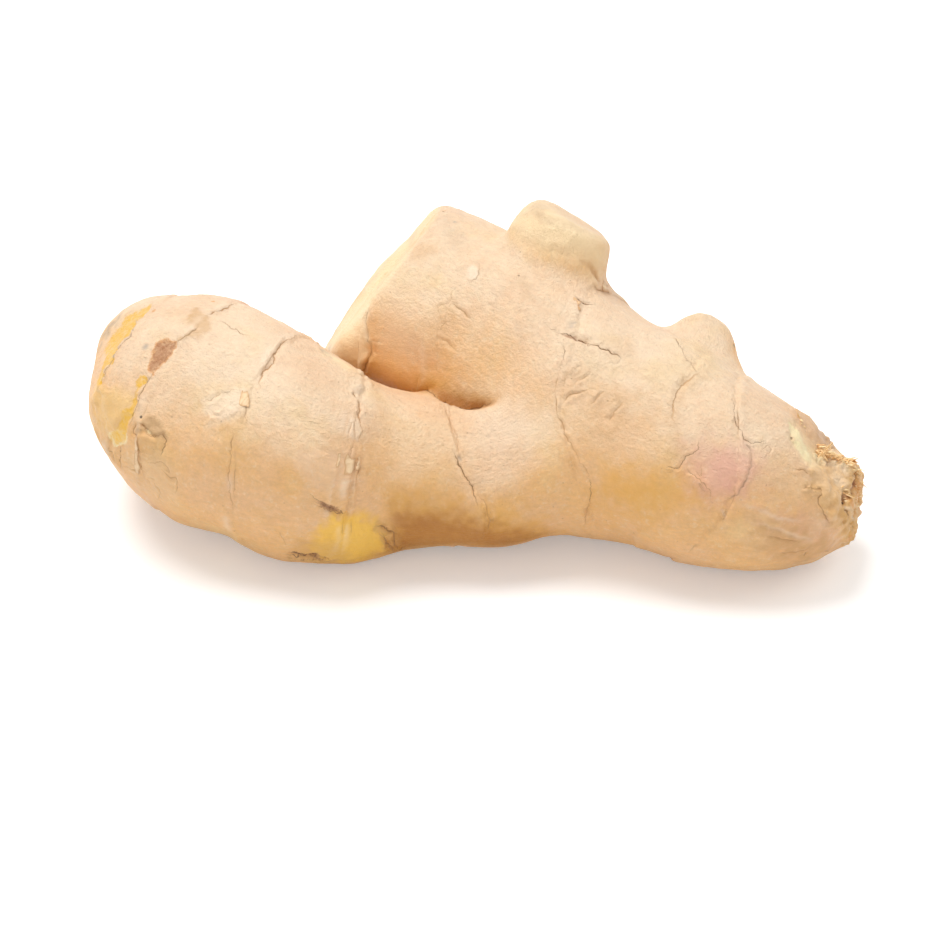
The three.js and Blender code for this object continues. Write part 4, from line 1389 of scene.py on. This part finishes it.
def thin_shell(points, triangles, normals, thickness):
    """A closed shell: the surface, the same surface below it, and the walls between."""
    n = len(points)
    start, end = edges_of(triangles).T
    rim = ~np.isin(start * n + end, end * n + start)
    a, b = start[rim], end[rim]
    faces = np.vstack([triangles, triangles[:, ::-1] + n, rows(b, a, a + n), rows(b, a + n, b + n)])
    return np.vstack([points, points - thickness * normals]), faces


PAPER_THICKNESS = 0.07
# The fewest corners that a scale remnant may have, and how low and how far turned down one may lie.
SMALLEST_SCALE = 70
LOWEST_SCALE = 9
FACING_DOWN = -0.3
# The sharpest fold in a remnant, in radians, that is still shaded smooth.
SMOOTH_FOLD = 1.2


def scale_material():
    """Dry papery skin, pale with brown edges."""
    material, n, shader = new_material("papery scale", 0.55)
    place = n.scale(n.add("TexCoord", "Object"), 1 / MM)
    grain = n.group(GRAIN, Place=n.vector("grain_place"), Fineness=1.6)
    dots = n.group(SPECKS, Place=place, Per_mm=1.0, Share=0.3)["Specks"]
    colour = n.mix(n.remap(grain["Streaks"], 0.35, 0.65), rgb(228, 192, 146), rgb(242, 212, 172))
    colour = n.mix(n.math("MULTIPLY", n.mask("edge"), 0.7), colour, rgb(202, 150, 98))
    colour = n.mix(n.math("MULTIPLY", dots, 0.5), colour, rgb(150, 100, 64))
    n.tree.links.new(colour, shader.inputs["Base Color"])
    height = n.math("ADD", grain["Streaks"], n.math("MULTIPLY", grain["Wrinkles"], 0.4))
    n.tree.links.new(n.add("Bump", Strength=0.8, Distance=0.2 * MM, Height=height), shader.inputs["Normal"])
    return material


def build_scales(skin, triangles, normals):
    """Torn remnants of the papery scales along the rings, each lifted at its free edge."""
    total, parts = join_limbs(skin)
    stray = wander(skin)
    field, reach = np.full(len(skin), -1.0), np.zeros(len(skin))
    worn = rough(skin, 4.5, 90, 3)
    ragged = rough(skin, 1.8, 91, 2)
    for ring, past, share in each_ring(total, parts):
        t = (past + stray) * ring.side
        whole = 2 * (worn + 0.5 * ring.paper - 0.85)
        here = np.min([t + 1.2, 0.35 + 0.5 * ragged - t, whole, 3 * share - 1.8], 0)
        reach = np.where(here > field, t, reach)
        field = np.maximum(field, here)
    field = np.where((skin[:, 2] < LOWEST_SCALE) | (normals[:, 2] < FACING_DOWN), -1, field)
    values = np.column_stack([normals, reach, field, grain_places(skin, total, parts)[0]["trunk"]])
    points, triangles, values = clip_mesh(skin, triangles, field, values)
    label = islands(triangles, len(points))
    big = np.bincount(label, minlength=len(points))[label] >= SMALLEST_SCALE
    triangles = triangles[big[triangles].all(1)]
    kept, triangles = np.unique(triangles, return_inverse=True)
    points, values, triangles = points[kept], values[kept], triangles.reshape(-1, 3)
    normals, reach, edge = unit(values[:, :3]), values[:, 3], step(values[:, 4], 0.35, 0.0)
    lift = 0.02 + 0.2 * step(reach, -1.2, 0.6) + 0.1 * np.clip(rough(points, 1.5, 92), 0, 1)
    shell, faces = thin_shell(points + lift[:, None] * normals, triangles, normals, PAPER_THICKNESS)
    piece = add_mesh("scale_remnants", shell, faces, scale_material())
    piece.data.set_sharp_from_angle(angle=SMOOTH_FOLD)
    store(piece.data, "edge", np.tile(edge, 2))
    store(piece.data, "grain_place", np.tile(values[:, 5:8], (2, 1)))
    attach(piece, "root")


# Where torn fibres stand at the right end: path of their roots in the frame, how many, how far they
# stray from it in pixels, their longest length, and which way they lean.
FIBRES = [
    ([818, 449, 826, 454, 836, 458, 846, 459, 856, 466], 150, 4.5, 2.0, (0.85, -0.3, 0.1)),
    ([856, 466, 858, 480, 859, 495, 858, 512], 34, 4.0, 1.8, (0.95, -0.25, 0.1)),
    ([797, 416, 801, 420, 804, 426], 5, 1.0, 1.6, (-0.2, -0.5, 0.8)),
    ([840, 484, 846, 490, 848, 500], 14, 2.5, 1.5, (0.7, -0.6, 0.3)),
]
# How many rounds of corners a fibre has, how many in each, and how deep its root is.
ROUNDS, SIDES = 5, 6
ROOTED = 0.5


def fibre_material():
    """Dry torn fibre, from straw to orange."""
    material, n, shader = new_material("torn fibre", 0.6)
    place = n.scale(n.add("TexCoord", "Object"), 1 / MM)
    dots = n.group(SPECKS, Place=place, Per_mm=1.4, Share=0.4)["Specks"]
    colour = n.mix(n.mask("tone"), rgb(250, 224, 172), rgb(234, 178, 108))
    colour = n.mix(n.remap(n.noise(place, 1.2, 3.0), 0.4, 0.65, 0.0, 0.5), colour, rgb(252, 232, 190))
    colour = n.mix(n.math("MULTIPLY", dots, 0.6), colour, rgb(150, 98, 60))
    n.tree.links.new(colour, shader.inputs["Base Color"])
    return material


def tube_faces(start):
    """The triangles of a closed tube whose corners come round by round from the given one."""
    faces = []
    for i in range(ROUNDS - 1):
        for j in range(SIDES):
            a, b = start + i * SIDES + j, start + i * SIDES + (j + 1) % SIDES
            faces += [(a, b, b + SIDES), (a, b + SIDES, a + SIDES)]
    last = start + (ROUNDS - 1) * SIDES
    for j in range(1, SIDES - 1):
        faces += [(start, start + j + 1, start + j), (last, last + j, last + j + 1)]
    return faces


def build_fibres(skin, triangles):
    """Short torn fibres on the right end: closed, tapered and a little curved."""
    tree = BVHTree.FromPolygons(skin.tolist(), triangles.tolist())
    draw = np.random.default_rng(SEED)
    turn = 2 * math.pi * np.arange(SIDES) / SIDES
    points, faces, tones = [], [], []
    for path, count, stray, longest, lean in FIBRES:
        for place in catmull(path_of(path), draw.random(count)) + draw.normal(0, stray / 2, (count, 2)):
            length, radius, tone = longest * draw.uniform(0.3, 1), draw.uniform(0.12, 0.42), draw.random()
            heading, bend = draw.normal(0, 0.4, (2, 3))
            root = cast(tree, "front", *place)
            if root is None:
                continue
            way = unit(np.array([np.array(lean) + heading]))[0]
            across = unit(np.cross([way], [(0.1, 0.2, 1)]))[0]
            other = np.cross(way, across)
            faces += tube_faces(len(points))
            for i in range(ROUNDS):
                t = i / (ROUNDS - 1)
                centre = np.array(root) + way * (length * t - ROOTED) + bend * length * t * t
                wide = radius * (1 - 0.85 * t**1.5)
                points += [centre + wide * (math.cos(a) * across + 0.6 * math.sin(a) * other) for a in turn]
                tones += [tone] * SIDES
    piece = add_mesh("torn_fibres", np.array(points), np.array(faces), fibre_material())
    store(piece.data, "tone", np.array(tones))
    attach(piece, "root")


def build_skin():
    """The skin with its relief and marks, in place of the solid."""
    points, triangles = solid_mesh()
    tree = BVHTree.FromPolygons(points.tolist(), triangles.tolist())
    lines, dots = lay_lines(tree), lay_spots(tree, DOTS)
    points, triangles = refine(points, triangles, lines, dots)
    grounded = points[:, 2] < GROUNDED
    base = points.copy()
    base[~grounded] = pull(points[~grounded])
    own = {limb.name: part for limb, part in zip(limbs, join_limbs(base)[1])}
    along = own["front finger"][2]
    neck = bump(along - NECK_FOLD, NECK_REACH) * step(base[:, 0], 2, -8) * ~grounded
    base = ease(base, triangles, np.maximum(neck, EVEN_SHARE * ~grounded), EVEN_ROUNDS)
    normals = vertex_normals(base, triangles)
    total, parts = join_limbs(base)
    masks = {name: np.zeros(len(base)) for name in ("low", *STAINS)}
    for kind in SEAMS:
        masks[kind] = np.full(len(base), NO_SEAM)
        masks[kind + "_weight"] = np.zeros(len(base))
        masks[kind + "_dark"] = np.zeros(len(base))
    places, shares = grain_places(base, total, parts)
    height = skin_relief(base, total, parts, places, shares, masks)
    height += mark_skin(base, normals, tree, lines, dots, masks) + tear_end(base, masks)
    skin = base + normals * height[:, None]
    skin[grounded] = points[grounded]
    skin[:, 2] = np.maximum(skin[:, 2], 0)
    # How far each point faces down; the underside's darker, more golden colour is partly its own and partly
    # painted shade.
    masks["low"] = step(-normals[:, 2], -0.95, -0.3)
    # Where there is little room in front of the skin: painted shade, and a warm tint that is partly painted
    # bounce light and partly the skin's own warmer colour in hollows.
    free = sum(np.clip(smooth_skin(base + normals * reach) / reach, 0, 1) for reach in ROOM) / len(ROOM)
    masks["tucked"] += step(free, 0.6, 0.1) * 0.8
    masks["tucked"] *= 1 - 0.4 * np.clip(masks["cream"], 0, 1)
    masks["deep"] += 0.45 * step(free, 0.36, 0.0) * (1 - np.clip(1.5 * masks["cream"], 0, 1))
    piece = add_mesh("ginger_skin", skin, triangles, skin_material())
    for name, values in masks.items():
        least, most = (-NO_SEAM, NO_SEAM) if name in SEAMS else (0, 1)
        store(piece.data, name, np.clip(values, least, most))
    for grain in GRAINS:
        store(piece.data, grain + "_place", places[grain])
        store(piece.data, grain + "_share", shares[grain])
    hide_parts("ginger_root")
    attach(piece, "root")
    return skin, triangles, normals


add_camera()
add_floor()
add_light()
skin, skin_triangles, skin_normals = build_skin()
build_scales(skin, skin_triangles, skin_normals)
build_fibres(skin, skin_triangles)
